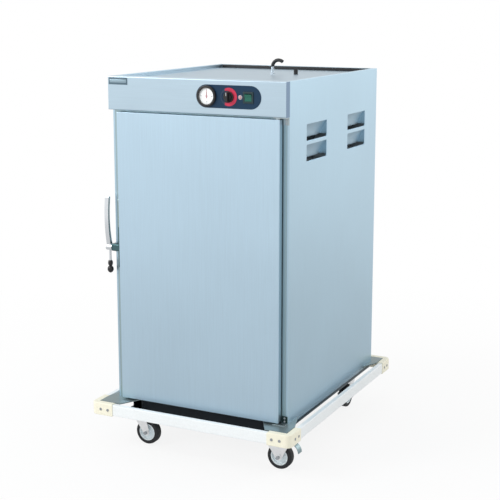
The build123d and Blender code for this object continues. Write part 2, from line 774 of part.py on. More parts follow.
# Cable entry: gland body, thread and locknut round one cable bore.
gland_bore_diameter = 10.0
gland_flats = 30.0
gland_dome = 16.0
gland_hex_height = 8.0
gland_dome_inset = 1.0
gland_dome_round = 5.0
gland_thread_proud = 4.0
gland_reach = 20.0
locknut_thickness = 5.0
with BuildPart() as cord_inlet:
    with BuildSketch(Plane.XZ.offset(-back_y)):
        with Locations((inlet_from_middle, inlet_height)):
            RegularPolygon(gland_flats / 2, 6, major_radius=False)
    extrude(amount=-gland_hex_height)
    with BuildSketch(Plane.XZ.offset(-back_y - gland_hex_height)):
        with Locations((inlet_from_middle, inlet_height)):
            Circle(gland_flats / 2 - gland_dome_inset)
    extrude(amount=-gland_dome)
    fillet(cord_inlet.faces().sort_by(Axis.Y)[-1].edges(), gland_dome_round)
    with BuildSketch(Plane.XZ.offset(-back_y)):
        with Locations((inlet_from_middle, inlet_height)):
            Circle(gland_thread_diameter / 2)
    extrude(amount=sheet + locknut_thickness + gland_thread_proud)
    with BuildSketch(Plane.XZ.offset(-back_y + sheet)):
        with Locations((inlet_from_middle, inlet_height)):
            RegularPolygon(gland_flats / 2, 6, major_radius=False)
    extrude(amount=locknut_thickness)
    with BuildSketch(Plane.XZ.offset(-back_y + gland_reach)):
        with Locations((inlet_from_middle, inlet_height)):
            Circle(gland_bore_diameter / 2)
    extrude(amount=-(2 * gland_reach + gland_hex_height + gland_dome), mode=Mode.SUBTRACT)
save(cord_inlet, "cord_inlet")

# Gooseneck on the top: plain post with a collar, and a curved sleeve.
hook_x = hook_from_middle
hook_y = front_y + hook_from_front
tray_z = rim_height - rim_depth
post_top = tray_z + hook_post_height
collar_height = 4.0
collar_margin = 4.0
post_tail = 8.0
with BuildPart() as hook_post:
    with Locations((hook_x, hook_y, tray_z - sheet - post_tail)):
        Cylinder(hook_post_diameter / 2, post_top - tray_z + sheet + post_tail,
                 align=(Align.CENTER, Align.CENTER, Align.MIN))
    with BuildSketch(Plane.XY.offset(tray_z)):
        with Locations((hook_x, hook_y)):
            RegularPolygon(hook_post_diameter / 2 + collar_margin, 6, major_radius=False)
    extrude(amount=collar_height)
save(hook_post, "hook_post")

droop_angle = 38.0
droop_radius = 31.2
sleeve_round = 2.0
with BuildPart() as hook_sleeve:
    with BuildLine(Plane(origin=(hook_x, hook_y, post_top), x_dir=(1, 0, 0), z_dir=(0, -1, 0))) as sleeve_path:
        rise = JernArc((0, 0), (0, 1), hook_bend_radius, -90)
        droop = JernArc(rise @ 1, rise % 1, droop_radius, -droop_angle)
    with BuildSketch(sleeve_path.line ^ 0):
        Circle(hook_sleeve_diameter / 2)
    sweep()
    fillet(hook_sleeve.edges().filter_by(GeomType.CIRCLE).sort_by(Axis.X)[-1], sleeve_round)
save(hook_sleeve, "hook_sleeve")

# Door: outer pan, inner pan with a raised plug, core between them, and a gasket round the plug.
door_left = -half_width + door_inset_left
door_right = half_width - door_inset_right
door_top = header_bottom - door_top_gap
door_bottom = base_height + door_bottom_gap
door_width = door_right - door_left
door_height = door_top - door_bottom
door_x = (door_left + door_right) / 2
door_z = (door_top + door_bottom) / 2
door_front = header_front
door_back = front_y - door_standoff
hinge_x = door_right - hinge_axis_inset
hinge_y = (door_front + door_back) / 2
hinge_hole = hinge_pin_diameter / 2 + running_clearance
block_y = (door_front + sheet + door_back - sheet) / 2
block_depth = door_back - door_front - 2 * sheet
with BuildPart() as door_skin:
    with BuildSketch(Plane.XZ.offset(-door_back)):
        with Locations((door_x, door_z)):
            Rectangle(door_width, door_height)
    extrude(amount=door_back - door_front)
    fillet(door_skin.edges().filter_by(Axis.Z).group_by(Axis.Y)[0], bend_radius)
    fillet(door_skin.faces().sort_by(Axis.Y)[0].edges().filter_by(Axis.X), sheet_round)
    with BuildSketch(Plane.XZ.offset(-door_back)):
        with Locations((door_x, door_z)):
            Rectangle(door_width - 2 * sheet, door_height - 2 * sheet)
    extrude(amount=door_back - door_front - sheet, mode=Mode.SUBTRACT)
    for level in (door_bottom, door_top - hinge_block_height):
        with BuildSketch(Plane.XY.offset(level)):
            with Locations((hinge_x, block_y)):
                Rectangle(hinge_block_size, block_depth)
        extrude(amount=hinge_block_height)
    with BuildSketch(Plane.XY.offset(door_bottom)):
        with Locations((hinge_x, hinge_y)):
            Circle(hinge_hole)
    extrude(amount=door_height, mode=Mode.SUBTRACT)
save(door_skin, "door_skin")

plug_half = chamber_half - plug_clearance
plug_height = chamber_height - 2 * plug_clearance
plug_z = (chamber_floor + chamber_top) / 2
plug_corner = 14.0
plug_round = 4.0
with BuildPart() as door_liner:
    with BuildSketch(Plane.XZ.offset(-door_back)):
        with Locations((0, plug_z)):
            Rectangle(2 * plug_half, plug_height)
    extrude(amount=-plug_depth)
    fillet(door_liner.edges().filter_by(Axis.Y), plug_corner)
    fillet(door_liner.faces().sort_by(Axis.Y)[-1].edges(), plug_round)
    offset(amount=-sheet, openings=door_liner.faces().sort_by(Axis.Y)[0])
    with BuildSketch(Plane.XZ.offset(-door_back)):
        with Locations((door_x, door_z)):
            RectangleRounded(door_width - 2 * sheet, door_height - 2 * sheet, bend_radius - sheet)
        with Locations((0, plug_z)):
            RectangleRounded(2 * (plug_half - sheet), plug_height - 2 * sheet, plug_corner - sheet,
                             mode=Mode.SUBTRACT)
    extrude(amount=sheet)
save(door_liner, "door_liner")

core_gap = 0.2
with BuildPart() as door_core:
    with BuildSketch(Plane.XZ.offset(-door_back + sheet)):
        with Locations((door_x, door_z)):
            Rectangle(door_width - 2 * (sheet + bend_radius), door_height - 2 * (sheet + bend_radius))
        with Locations((hinge_x, door_z)):
            Rectangle(hinge_block_size + 2 * core_gap, door_height, mode=Mode.SUBTRACT)
    extrude(amount=door_back - door_front - 2 * sheet)
save(door_core, "door_core")

gasket_thickness = door_standoff - seat_clearance
gasket_margin = 4.0
gasket_inner_corner = 8.0
gasket_outer_corner = 18.0
gasket_round = 2.0
gasket_inner_half = chamber_half + gasket_margin
gasket_outer_half = gasket_inner_half + gasket_width
with BuildPart() as door_gasket:
    with BuildSketch(Plane.XZ.offset(-door_back)):
        with Locations((0, plug_z)):
            RectangleRounded(2 * gasket_outer_half, chamber_height + 2 * (gasket_margin + gasket_width),
                             gasket_outer_corner)
            RectangleRounded(2 * gasket_inner_half, chamber_height + 2 * gasket_margin, gasket_inner_corner,
                             mode=Mode.SUBTRACT)
    extrude(amount=-gasket_thickness)
    lip = door_gasket.faces().sort_by(Axis.Y)[-1]
    fillet(lip.outer_wire().edges(), gasket_round)
    fillet(lip.inner_wires()[0].edges(), gasket_round)
save(door_gasket, "door_gasket")

# Pivot brackets: a leaf over and under the door with its pin, and a leg on the front frame.
leaf_margin = 9.0
leaf_edge = 1.0
leaf_setback = 2.0
leaf_corner = 2.0
leg_clearance = 3.0
leg_height = 26.0
pin_collar_diameter = 18.0
leaf_left = hinge_x - hinge_pin_diameter / 2 - leaf_margin
leaf_right = half_width - leaf_edge
leg_left = door_right + leg_clearance
with BuildPart() as hinge_brackets:
    for upper in (True, False):
        leaf_z = header_bottom - hinge_leaf_thickness if upper else base_height
        direction = -1 if upper else 1
        with BuildSketch(Plane.XY.offset(leaf_z)):
            with Locations(((leaf_left + leaf_right) / 2, (door_front + leaf_setback + front_y) / 2)):
                RectangleRounded(leaf_right - leaf_left, front_y - door_front - leaf_setback, leaf_corner)
        extrude(amount=hinge_leaf_thickness)
        leg_z = leaf_z - leg_height if upper else leaf_z + hinge_leaf_thickness
        with BuildSketch(Plane.XY.offset(leg_z)):
            with Locations(((leg_left + leaf_right) / 2, front_y - hinge_leaf_thickness / 2)):
                Rectangle(leaf_right - leg_left, hinge_leaf_thickness)
        extrude(amount=leg_height)
        pin_start = leaf_z if upper else leaf_z + hinge_leaf_thickness
        gap = (door_top_gap if upper else door_bottom_gap) - hinge_leaf_thickness
        with BuildSketch(Plane.XY.offset(pin_start)):
            with Locations((hinge_x, hinge_y)):
                Circle(hinge_pin_diameter / 2)
        extrude(amount=direction * (gap + hinge_pin_engagement))
        with BuildSketch(Plane.XY.offset(pin_start)):
            with Locations((hinge_x, hinge_y)):
                Circle(pin_collar_diameter / 2)
        extrude(amount=direction * (gap - seat_clearance))
save(hinge_brackets, "hinge_brackets")

# Edge latch: plate with a clevis block on the door's edge, lever with its hook, knob, and strike.
lever_x = -half_width - latch_from_side
boss_side_gap = 2.0
boss_inner = -half_width - boss_side_gap
boss_width = 25.0
boss_outer = boss_inner - boss_width
latch_side_gap = seat_clearance
clevis_height = 28.0
clevis_corner = 5.0
latch_plate_width = 20.0
latch_plate_corner = 6.0
pin_head_margin = 4.0
pin_head_height = 3.0
pin_head_round = 1.2
latch_y = hinge_y
with BuildPart() as latch_bracket:
    with BuildSketch(Plane.YZ.offset(door_left)):
        with Locations((latch_y, (latch_plate_top + latch_plate_bottom) / 2)):
            RectangleRounded(latch_plate_width, latch_plate_top - latch_plate_bottom, latch_plate_corner)
    extrude(amount=-latch_plate_thickness)
    with BuildSketch(Plane.YZ.offset(door_left)):
        with Locations((latch_y, latch_pivot_height)):
            RectangleRounded(latch_plate_width, clevis_height, clevis_corner)
    extrude(amount=boss_inner + latch_side_gap - door_left)
    with BuildSketch(Plane.YZ.offset(door_left)):
        with Locations((latch_y, latch_pivot_height)):
            Circle(latch_pin_diameter / 2)
    extrude(amount=boss_outer - latch_side_gap - door_left)
    with BuildSketch(Plane.YZ.offset(boss_outer - latch_side_gap)):
        with Locations((latch_y, latch_pivot_height)):
            Circle(latch_pin_diameter / 2 + pin_head_margin)
    extrude(amount=-pin_head_height)
    fillet(latch_bracket.faces().sort_by(Axis.X)[0].edges(), pin_head_round)
save(latch_bracket, "latch_bracket")

strike_y = front_y + strike_from_front
strike_z = latch_pivot_height - strike_drop
strike_plate_thickness = 3.0
strike_plate_width = 32.0
strike_plate_height = 48.0
strike_plate_corner = 4.0
strike_plate_round = 1.0
strike_pin_overhang = 8.0
arm_clearance = 2.0
strike_pin_end = lever_x - strike_pin_overhang
arm_bottom = strike_z + strike_pin_diameter / 2 + arm_clearance
lip_front = strike_y + strike_pin_diameter / 2 + strike_lip_clearance
lip_width = 8.0
arm_width = 11.0
neck_width = 9.0
neck_lap = 8.0
neck_bottom = latch_pivot_height - knob_length + neck_lap
neck_tenon = 12.0
lever_bow = 16.0
lever_tip_bow = 9.6
lever_foot_half = 7.7
lever_tip_round = 3.0
lever_middle = latch_pivot_height + lever_length / 2
lever_top = latch_pivot_height + lever_length
lip_chamfer = 1.0
with BuildPart() as latch_lever:
    with BuildSketch(Plane.YZ.offset(lever_x - lever_width / 2)):
        with BuildLine():
            lever_half = lever_thickness / 2
            outer = ThreePointArc((latch_y - lever_foot_half, latch_pivot_height),
                                  (latch_y - lever_bow - lever_half, lever_middle),
                                  (latch_y - lever_tip_bow - lever_half, lever_top))
            inner = ThreePointArc((latch_y + lever_foot_half, latch_pivot_height),
                                  (latch_y - lever_bow + lever_half, lever_middle),
                                  (latch_y - lever_tip_bow + lever_half, lever_top))
            Line(outer @ 0, inner @ 0)
            Line(outer @ 1, inner @ 1)
        make_face()
    extrude(amount=lever_width)
    fillet(latch_lever.faces().sort_by(Axis.Z)[-1].edges(), lever_tip_round)
    with BuildSketch(Plane.YZ.offset(boss_inner)):
        with Locations((latch_y, latch_pivot_height)):
            Circle(lever_boss_diameter / 2)
    extrude(amount=-boss_width)
    with BuildSketch(Plane.YZ.offset(lever_x - arm_width / 2)):
        with Locations(((latch_y + lip_front + lip_width) / 2, arm_bottom + hook_arm_thickness / 2)):
            Rectangle(lip_front + lip_width - latch_y, hook_arm_thickness)
        with BuildLine():
            Polyline((lip_front, arm_bottom + lip_chamfer),
                     (lip_front, strike_z - strike_pin_diameter / 2 - lip_chamfer),
                     (lip_front + lip_width, strike_z + lip_chamfer),
                     (lip_front + lip_width, arm_bottom + lip_chamfer), close=True)
        make_face()
    extrude(amount=arm_width)
    with BuildSketch(Plane.XY.offset(latch_pivot_height)):
        with Locations((lever_x, latch_y)):
            Circle(neck_width / 2)
    extrude(amount=neck_bottom - neck_tenon - latch_pivot_height)
    with BuildSketch(Plane.YZ.offset(boss_inner)):
        with Locations((latch_y, latch_pivot_height)):
            Circle(latch_pin_diameter / 2 + running_clearance)
    extrude(amount=-boss_width, mode=Mode.SUBTRACT)
save(latch_lever, "latch_lever")

knob_drop = 29.0
knob_waist_half = 5.6
knob_waist_height = 28.2
knob_collar_half = 6.75
knob_ball_height = 13.2
knob_sleeve_half = 9.6
knob_bottom = latch_pivot_height - lever_boss_diameter / 2 - knob_length - knob_drop
with BuildPart() as latch_knob:
    with BuildSketch(Plane(origin=(lever_x, latch_y, 0), x_dir=(1, 0, 0), z_dir=(0, -1, 0))):
        with BuildLine():
            foot = (0, knob_bottom)
            waist = (knob_waist_half, knob_bottom + knob_waist_height)
            crown = (knob_collar_half, neck_bottom)
            ThreePointArc(foot, (knob_radius, knob_bottom + knob_ball_height), waist)
            ThreePointArc(waist, (knob_sleeve_half, (waist[1] + crown[1]) / 2), crown)
            Line(crown, (0, crown[1]))
            Line((0, crown[1]), foot)
        make_face()
    revolve(axis=Axis((lever_x, latch_y, 0), (0, 0, 1)))
    with BuildSketch(Plane.XY.offset(neck_bottom)):
        with Locations((lever_x, latch_y)):
            Circle(neck_width / 2)
    extrude(amount=-neck_tenon, mode=Mode.SUBTRACT)
save(latch_knob, "latch_knob")

with BuildPart() as latch_strike:
    with BuildSketch(Plane.YZ.offset(-half_width)):
        with Locations((strike_y, strike_z)):
            RectangleRounded(strike_plate_width, strike_plate_height, strike_plate_corner)
    extrude(amount=-strike_plate_thickness)
    with BuildSketch(Plane.YZ.offset(-half_width)):
        with Locations((strike_y, strike_z)):
            Circle(strike_pin_diameter / 2)
    extrude(amount=strike_pin_end + half_width)
    fillet(latch_strike.faces().sort_by(Axis.X)[0].edges(), strike_plate_round)
save(latch_strike, "latch_strike")

# Chassis: two long tubes, three cross tubes and four corner plates.
tube_height = bumper_height - plate_gauge
tube_wall = 2.0
tube_setback = 10.0
tube_half_length = cabinet_depth / 2 - tube_setback
corner_plate_reach = 120.0
corner_plate_inset = 8.0
corner_plate_wing_y = 70.0
corner_plate_wing_x = 90.0
corner_plate_shoulder = 30.0
caster_ys = {"front": front_y + caster_from_front, "rear": back_y - caster_from_back}
cross_ys = (middle_y - tube_half_length + chassis_tube_width / 2, middle_y,
            middle_y + tube_half_length - chassis_tube_width / 2)
plate_inner = caster_from_middle - chassis_tube_width
corner_inner_x = bumper_half_x - bumper_thickness
corner_inner_y = bumper_half_y - bumper_thickness
with BuildPart() as chassis_frame:
    for side in (-1, 1):
        with BuildSketch(Plane.XZ.offset(-(middle_y - tube_half_length))):
            with Locations((side * caster_from_middle, caster_height + tube_height / 2)):
                Rectangle(chassis_tube_width, tube_height)
                Rectangle(chassis_tube_width - 2 * tube_wall, tube_height - 2 * tube_wall, mode=Mode.SUBTRACT)
        extrude(amount=-2 * tube_half_length)
    for cross_y in cross_ys:
        with BuildSketch(Plane.YZ.offset(-plate_inner - chassis_tube_width / 2)):
            with Locations((cross_y, caster_height + tube_height / 2)):
                Rectangle(chassis_tube_width, tube_height)
                Rectangle(chassis_tube_width - 2 * tube_wall, tube_height - 2 * tube_wall, mode=Mode.SUBTRACT)
        extrude(amount=2 * plate_inner + chassis_tube_width)
    for side in (-1, 1):
        for end in (-1, 1):
            inner_y = end * (cabinet_depth / 2 - corner_plate_reach) + middle_y
            with BuildSketch(Plane.XY.offset(caster_height + tube_height)):
                with BuildLine():
                    Polyline(
                        (side * plate_inner, inner_y),
                        (side * (half_width - corner_plate_inset), inner_y),
                        (side * corner_inner_x, end * (corner_inner_y - corner_plate_wing_y)),
                        (side * corner_inner_x, end * corner_inner_y),
                        (side * (corner_inner_x - corner_plate_wing_x), end * corner_inner_y),
                        (side * plate_inner, end * (cabinet_depth / 2 - corner_plate_shoulder) + middle_y),
                        close=True,
                    )
                make_face()
            extrude(amount=plate_gauge)
save(chassis_frame, "chassis_frame")

# Bumper: four straight rails between four moulded corners.
bumper_edge_round = 4.0
with BuildPart() as bumper_corners:
    for side in (-1, 1):
        for end in (-1, 1):
            tip_x = side * bumper_half_x
            tip_y = end * bumper_half_y
            with BuildSketch(Plane.XY.offset(caster_height)) as corner_plan:
                with Locations((tip_x - side * corner_leg / 2, tip_y - end * bumper_thickness / 2)):
                    Rectangle(corner_leg, bumper_thickness)
                with Locations((tip_x - side * bumper_thickness / 2, tip_y - end * corner_leg / 2)):
                    Rectangle(bumper_thickness, corner_leg)
                fillet(corner_plan.vertices().sort_by_distance((tip_x, tip_y, 0))[0], corner_radius)
            extrude(amount=bumper_height)
    fillet(bumper_corners.faces().group_by(Axis.Z)[-1].edges(), bumper_edge_round)
    fillet(bumper_corners.faces().group_by(Axis.Z)[0].edges(), bumper_edge_round)
save(bumper_corners, "bumper_corners")

rail_z = caster_height + (bumper_height - rail_height) / 2
with BuildPart() as bumper_rails:
    for end in (-1, 1):
        with BuildSketch(Plane.XY.offset(rail_z)):
            with Locations((0, end * (bumper_half_y - rail_inset - rail_thickness / 2))):
                Rectangle(2 * (bumper_half_x - corner_leg), rail_thickness)
        extrude(amount=rail_height)
    for side in (-1, 1):
        with BuildSketch(Plane.XY.offset(rail_z)):
            with Locations((side * (bumper_half_x - rail_inset - rail_thickness / 2), 0)):
                Rectangle(rail_thickness, 2 * (bumper_half_y - corner_leg))
        extrude(amount=rail_height)
    long_edges = bumper_rails.edges().filter_by(lambda edge: edge.length > caster_from_middle)
    fillet(long_edges.filter_by(Axis.X), bumper_edge_round)
    fillet(long_edges.filter_by(Axis.Y), bumper_edge_round)
save(bumper_rails, "bumper_rails")

# Caster top plates with their kingpins
race_top = caster_height - plate_gauge - seat_clearance
crown_top = race_top - race_height
crown_bottom = crown_top - fork_gauge
kingpin_head = kingpin_diameter / 2 + 3.0
kingpin_head_height = 4.0
caster_plate_corner = 6.0
caster_bolt_inset = 10.0
caster_bolt_hole = 9.0
with BuildPart() as caster_plates:
    for side in (-1, 1):
        for end_y in caster_ys.values():
            with BuildSketch(Plane.XY.offset(caster_height)):
                with Locations((side * caster_from_middle, end_y)):
                    RectangleRounded(caster_plate_width, caster_plate_length, caster_plate_corner)
                    with GridLocations(caster_plate_width - 2 * caster_bolt_inset,
                                       caster_plate_length - 2 * caster_bolt_inset, 2, 2):
                        Circle(caster_bolt_hole / 2, mode=Mode.SUBTRACT)
            extrude(amount=-plate_gauge)
            with BuildSketch(Plane.XY.offset(caster_height - plate_gauge)):
                with Locations((side * caster_from_middle, end_y)):
                    Circle(kingpin_diameter / 2)
            extrude(amount=crown_bottom - seat_clearance - caster_height + plate_gauge)
            with BuildSketch(Plane.XY.offset(crown_bottom - seat_clearance)):
                with Locations((side * caster_from_middle, end_y)):
                    Circle(kingpin_head)
            extrude(amount=-kingpin_head_height)
save(caster_plates, "caster_plates")

# Casters: fork with race and axle, hub and tyre. Two of them have a foot brake.
wheel_radius = wheel_diameter / 2
leg_offset = fork_inner_width / 2
crown_half = race_diameter / 2 + 1.0
crown_shift = 4.0
race_round = 3.0
axle_head = axle_diameter / 2 + 3.0
axle_head_height = 3.0
axle_boss = axle_diameter / 2 + 8.0
pedal_pivot_x = caster_trail + 37.0
pedal_pivot_z = wheel_radius + 56.0
pedal_barrel = pedal_pivot_diameter / 2 + 3.0
pedal_bracket_drop = 14.0
pedal_sag = 3.0
pedal_drop = 32.0
pedal_middle = 26.0
pedal_tip = 42.0
shoe_width = 8.0
shoe_height = 9.0
shoe_back = 5.0
shoe_drop = 8.0
shoe_angle = 25.0
hub_radius = wheel_radius - tyre_wall
hub_half = tyre_width / 2 - 1.0
hub_bore = axle_diameter / 2 + running_clearance
hub_boss_edge = axle_diameter / 2 + 6.0
hub_boss_foot = axle_diameter / 2 + 8.0
hub_dish = 7.0
hub_rim_edge = 5.0
headings = {"front_left": 0.0, "front_right": 0.0, "rear_left": 0.0, "rear_right": -90.0}
braked = (("front", "right"), ("rear", "left"))

for end_name, end_y in caster_ys.items():
    for side, side_name in ((-1, "left"), (1, "right")):
        swivel_x = side * caster_from_middle
        wheel_x = swivel_x + caster_trail
        place = end_name + "_" + side_name
        has_brake = (end_name, side_name) in braked
        kingpin_axis = Axis((swivel_x, end_y, 0), (0, 0, 1))
        with BuildPart() as fork:
            with BuildSketch(Plane.XY.offset(crown_top)):
                with Locations((swivel_x, end_y)):
                    Circle(race_diameter / 2)
            extrude(amount=race_height)
            fillet(fork.faces().sort_by(Axis.Z)[-1].edges(), race_round)
            with BuildSketch(Plane.XY.offset(crown_bottom)):
                with Locations((swivel_x + crown_shift, end_y)):
                    Rectangle(2 * crown_half, fork_inner_width + 2 * fork_gauge)
            extrude(amount=fork_gauge)
            for leg in (-1, 1):
                with BuildSketch(Plane.XZ.offset(-(end_y + leg * leg_offset))):
                    with BuildLine():
                        Line((swivel_x + crown_shift - crown_half, crown_top),
                             (swivel_x + crown_shift + crown_half, crown_top))
                        CenterArc((wheel_x, wheel_radius), axle_boss, 0, 360)
                    make_hull()
                    if has_brake:
                        with BuildLine():
                            Line((swivel_x, crown_top),
                                 (swivel_x + crown_half, crown_bottom - pedal_bracket_drop))
                            CenterArc((swivel_x + pedal_pivot_x, pedal_pivot_z), pedal_barrel, 0, 360)
                        make_hull()
                extrude(amount=-leg * fork_gauge)
                with BuildSketch(Plane.XZ.offset(-(end_y + leg * (leg_offset + fork_gauge)))):
                    with Locations((wheel_x, wheel_radius)):
                        Circle(axle_head)
                extrude(amount=-leg * axle_head_height)
            with BuildSketch(Plane.XZ.offset(-(end_y - leg_offset))):
                with Locations((wheel_x, wheel_radius)):
                    Circle(axle_diameter / 2)
                if has_brake:
                    with Locations((swivel_x + pedal_pivot_x, pedal_pivot_z)):
                        Circle(pedal_pivot_diameter / 2)
            extrude(amount=-fork_inner_width)
            with BuildSketch(Plane.XY.offset(crown_bottom)):
                with Locations((swivel_x, end_y)):
                    Circle(kingpin_diameter / 2 + running_clearance)
            extrude(amount=race_height + fork_gauge, mode=Mode.SUBTRACT)
        save(fork, "caster_fork_" + place, kingpin_axis, headings[place])

        wheel_axis = Axis((wheel_x, end_y, wheel_radius), (0, 1, 0))
        wheel_plane = Plane(origin=(wheel_x, end_y, wheel_radius), x_dir=(0, 1, 0), z_dir=(1, 0, 0))
        with BuildPart() as hub:
            with BuildSketch(wheel_plane):
                with BuildLine():
                    Polyline(
                        (-hub_half, hub_bore),
                        (-hub_half, hub_boss_edge),
                        (-hub_half + hub_dish, hub_boss_foot),
                        (-hub_half + hub_dish, hub_radius - hub_dish),
                        (-hub_half, hub_radius - hub_rim_edge),
                        (-hub_half, hub_radius),
                        (hub_half, hub_radius),
                        (hub_half, hub_radius - hub_rim_edge),
                        (hub_half - hub_dish, hub_radius - hub_dish),
                        (hub_half - hub_dish, hub_boss_foot),
                        (hub_half, hub_boss_edge),
                        (hub_half, hub_bore),
                        close=True,
                    )
                make_face()
            revolve(axis=wheel_axis)
        save(hub, "caster_hub_" + place, kingpin_axis, headings[place])

        with BuildPart() as tyre:
            with BuildSketch(wheel_plane):
                with Locations((0, wheel_radius - tyre_wall / 2)):
                    Rectangle(tyre_width, tyre_wall)
            revolve(axis=wheel_axis)
            rims = tyre.edges().filter_by(GeomType.CIRCLE).group_by(SortBy.RADIUS)[-1]
            fillet(rims, tyre_shoulder)
        save(tyre, "caster_tyre_" + place, kingpin_axis, headings[place])

        if has_brake:
            pedal_plane = Plane(origin=(swivel_x + pedal_pivot_x, end_y - pedal_width / 2, pedal_pivot_z),
                                x_dir=(1, 0, 0), z_dir=(0, -1, 0))
            with BuildPart() as pedal:
                with BuildSketch(pedal_plane):
                    with BuildLine():
                        ThreePointArc((0, pedal_barrel - pedal_gauge / 2), (pedal_middle, -pedal_sag),
                                      (pedal_tip, -pedal_drop))
                    trace(line_width=pedal_gauge)
                    Circle(pedal_barrel)
                    with Locations((-shoe_back, -shoe_drop)):
                        Rectangle(shoe_width, shoe_height, rotation=-shoe_angle)
                    Circle(pedal_pivot_diameter / 2 + running_clearance, mode=Mode.SUBTRACT)
                extrude(amount=-pedal_width)
            save(pedal, "brake_pedal_" + place, kingpin_axis, headings[place])
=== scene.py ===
import math

import bpy
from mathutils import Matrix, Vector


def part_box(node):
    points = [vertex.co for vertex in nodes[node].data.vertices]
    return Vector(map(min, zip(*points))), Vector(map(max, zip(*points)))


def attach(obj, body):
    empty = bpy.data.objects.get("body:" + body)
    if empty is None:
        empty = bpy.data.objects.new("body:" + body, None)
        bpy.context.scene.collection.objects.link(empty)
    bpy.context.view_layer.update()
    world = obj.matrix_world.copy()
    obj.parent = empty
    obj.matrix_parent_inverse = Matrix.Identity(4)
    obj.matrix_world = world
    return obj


# Food warming cart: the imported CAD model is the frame, in metres, standing on the floor with its
# door towards -Y. The finishes and the small fittings are made here, in the order of assembly.
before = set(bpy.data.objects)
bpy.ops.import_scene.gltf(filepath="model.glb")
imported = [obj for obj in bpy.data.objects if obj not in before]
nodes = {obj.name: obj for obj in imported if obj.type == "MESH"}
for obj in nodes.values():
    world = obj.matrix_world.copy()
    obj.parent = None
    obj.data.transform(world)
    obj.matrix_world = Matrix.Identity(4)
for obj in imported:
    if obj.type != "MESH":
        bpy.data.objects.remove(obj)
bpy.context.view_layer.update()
bpy.ops.object.select_all(action="DESELECT")

# Camera. A long lens in front of the cart and to its right, a little above its top, looking slightly
# down. The small shift keeps the cart's uprights nearly parallel in the picture.
camera_place = (2.0885, -4.2203, 1.7511)
camera_yaw = 0.459
camera_pitch = 0.191
camera_lens = 84.8
camera_shift = -0.05
bpy.ops.object.camera_add(location=camera_place, rotation=(math.pi / 2 - camera_pitch, 0.0, camera_yaw))
camera = bpy.context.object
camera.name = "camera"
camera.data.lens = camera_lens
camera.data.sensor_width = 36.0
camera.data.shift_y = camera_shift
camera.data.clip_start = 0.05
camera.data.clip_end = 60.0
camera.data.dof.use_dof = False
bpy.context.scene.camera = camera
bpy.context.scene.view_settings.view_transform = "Standard"


# Surround and lamps. A pale room that shows white where it is seen, with one large soft lamp at the
# front left and a weaker one behind the cart at its right.
def combined(tree, operation, first, second):
    """The result of a Math node on two sockets."""
    node = tree.nodes.new("ShaderNodeMath")
    node.operation = operation
    tree.links.new(first, node.inputs[0])
    tree.links.new(second, node.inputs[1])
    return node.outputs[0]


def mixed(tree, share, first, second):
    """The first shader where share is 0, and the second where it is 1."""
    node = tree.nodes.new("ShaderNodeMixShader")
    tree.links.new(share, node.inputs[0])
    tree.links.new(first, node.inputs[1])
    tree.links.new(second, node.inputs[2])
    return node.outputs[0]


def seen_share(tree):
    """1 on what is seen straight, in a glossy surface or through glass, and 0 on the rest."""
    path = tree.nodes.new("ShaderNodeLightPath").outputs
    straight = combined(tree, "MAXIMUM", path["Is Camera Ray"], path["Is Glossy Ray"])
    return combined(tree, "MAXIMUM", straight, path["Is Transmission Ray"])


def soft_lamp(name, place, aim, width, power):
    bpy.ops.object.light_add(type="AREA", location=place)
    lamp = bpy.context.object
    lamp.name = name
    lamp.data.shape = "DISK"
    lamp.data.size = width
    lamp.data.energy = power
    toward = [a - p for a, p in zip(aim, place)]
    flat = math.hypot(toward[0], toward[1])
    lamp.rotation_euler = (math.atan2(flat, -toward[2]), 0.0, math.atan2(-toward[0], toward[1]))


room_light = 0.75
room = bpy.data.worlds.new("room")
bpy.context.scene.world = room
room.use_nodes = True
room_tree = room.node_tree
room_tree.nodes.clear()
room_lit = room_tree.nodes.new("ShaderNodeBackground")
room_lit.inputs["Color"].default_value = (1.0, 1.0, 1.0, 1.0)
room_lit.inputs["Strength"].default_value = room_light
room_white = room_tree.nodes.new("ShaderNodeBackground")
room_white.inputs["Color"].default_value = (1.0, 1.0, 1.0, 1.0)
room_white.inputs["Strength"].default_value = 1.0
room_all = mixed(room_tree, seen_share(room_tree), room_lit.outputs[0], room_white.outputs[0])
room_out = room_tree.nodes.new("ShaderNodeOutputWorld")
room_tree.links.new(room_all, room_out.inputs["Surface"])
soft_lamp("lamp_left", place=(-3.2, -3.4, 3.6), aim=(0.0, 0.0, 0.8), width=2.6, power=120.0)
soft_lamp("lamp_right", place=(4.2, 4.6, 2.9), aim=(0.37, 0.2, 1.3), width=2.2, power=60.0)


# Floor. A matt white sheet that runs into the white surround, and takes the cart's soft shadow near
# it. Glossy surfaces see it a little dimmer close to the cart, and from below it is open.
def faded(tree, distance, near, far, near_level, far_level):
    """A level that changes evenly over a distance."""
    node = tree.nodes.new("ShaderNodeMapRange")
    node.inputs["From Min"].default_value = near
    node.inputs["From Max"].default_value = far
    node.inputs["To Min"].default_value = near_level
    node.inputs["To Max"].default_value = far_level
    tree.links.new(distance, node.inputs["Value"])
    return node.outputs["Result"]


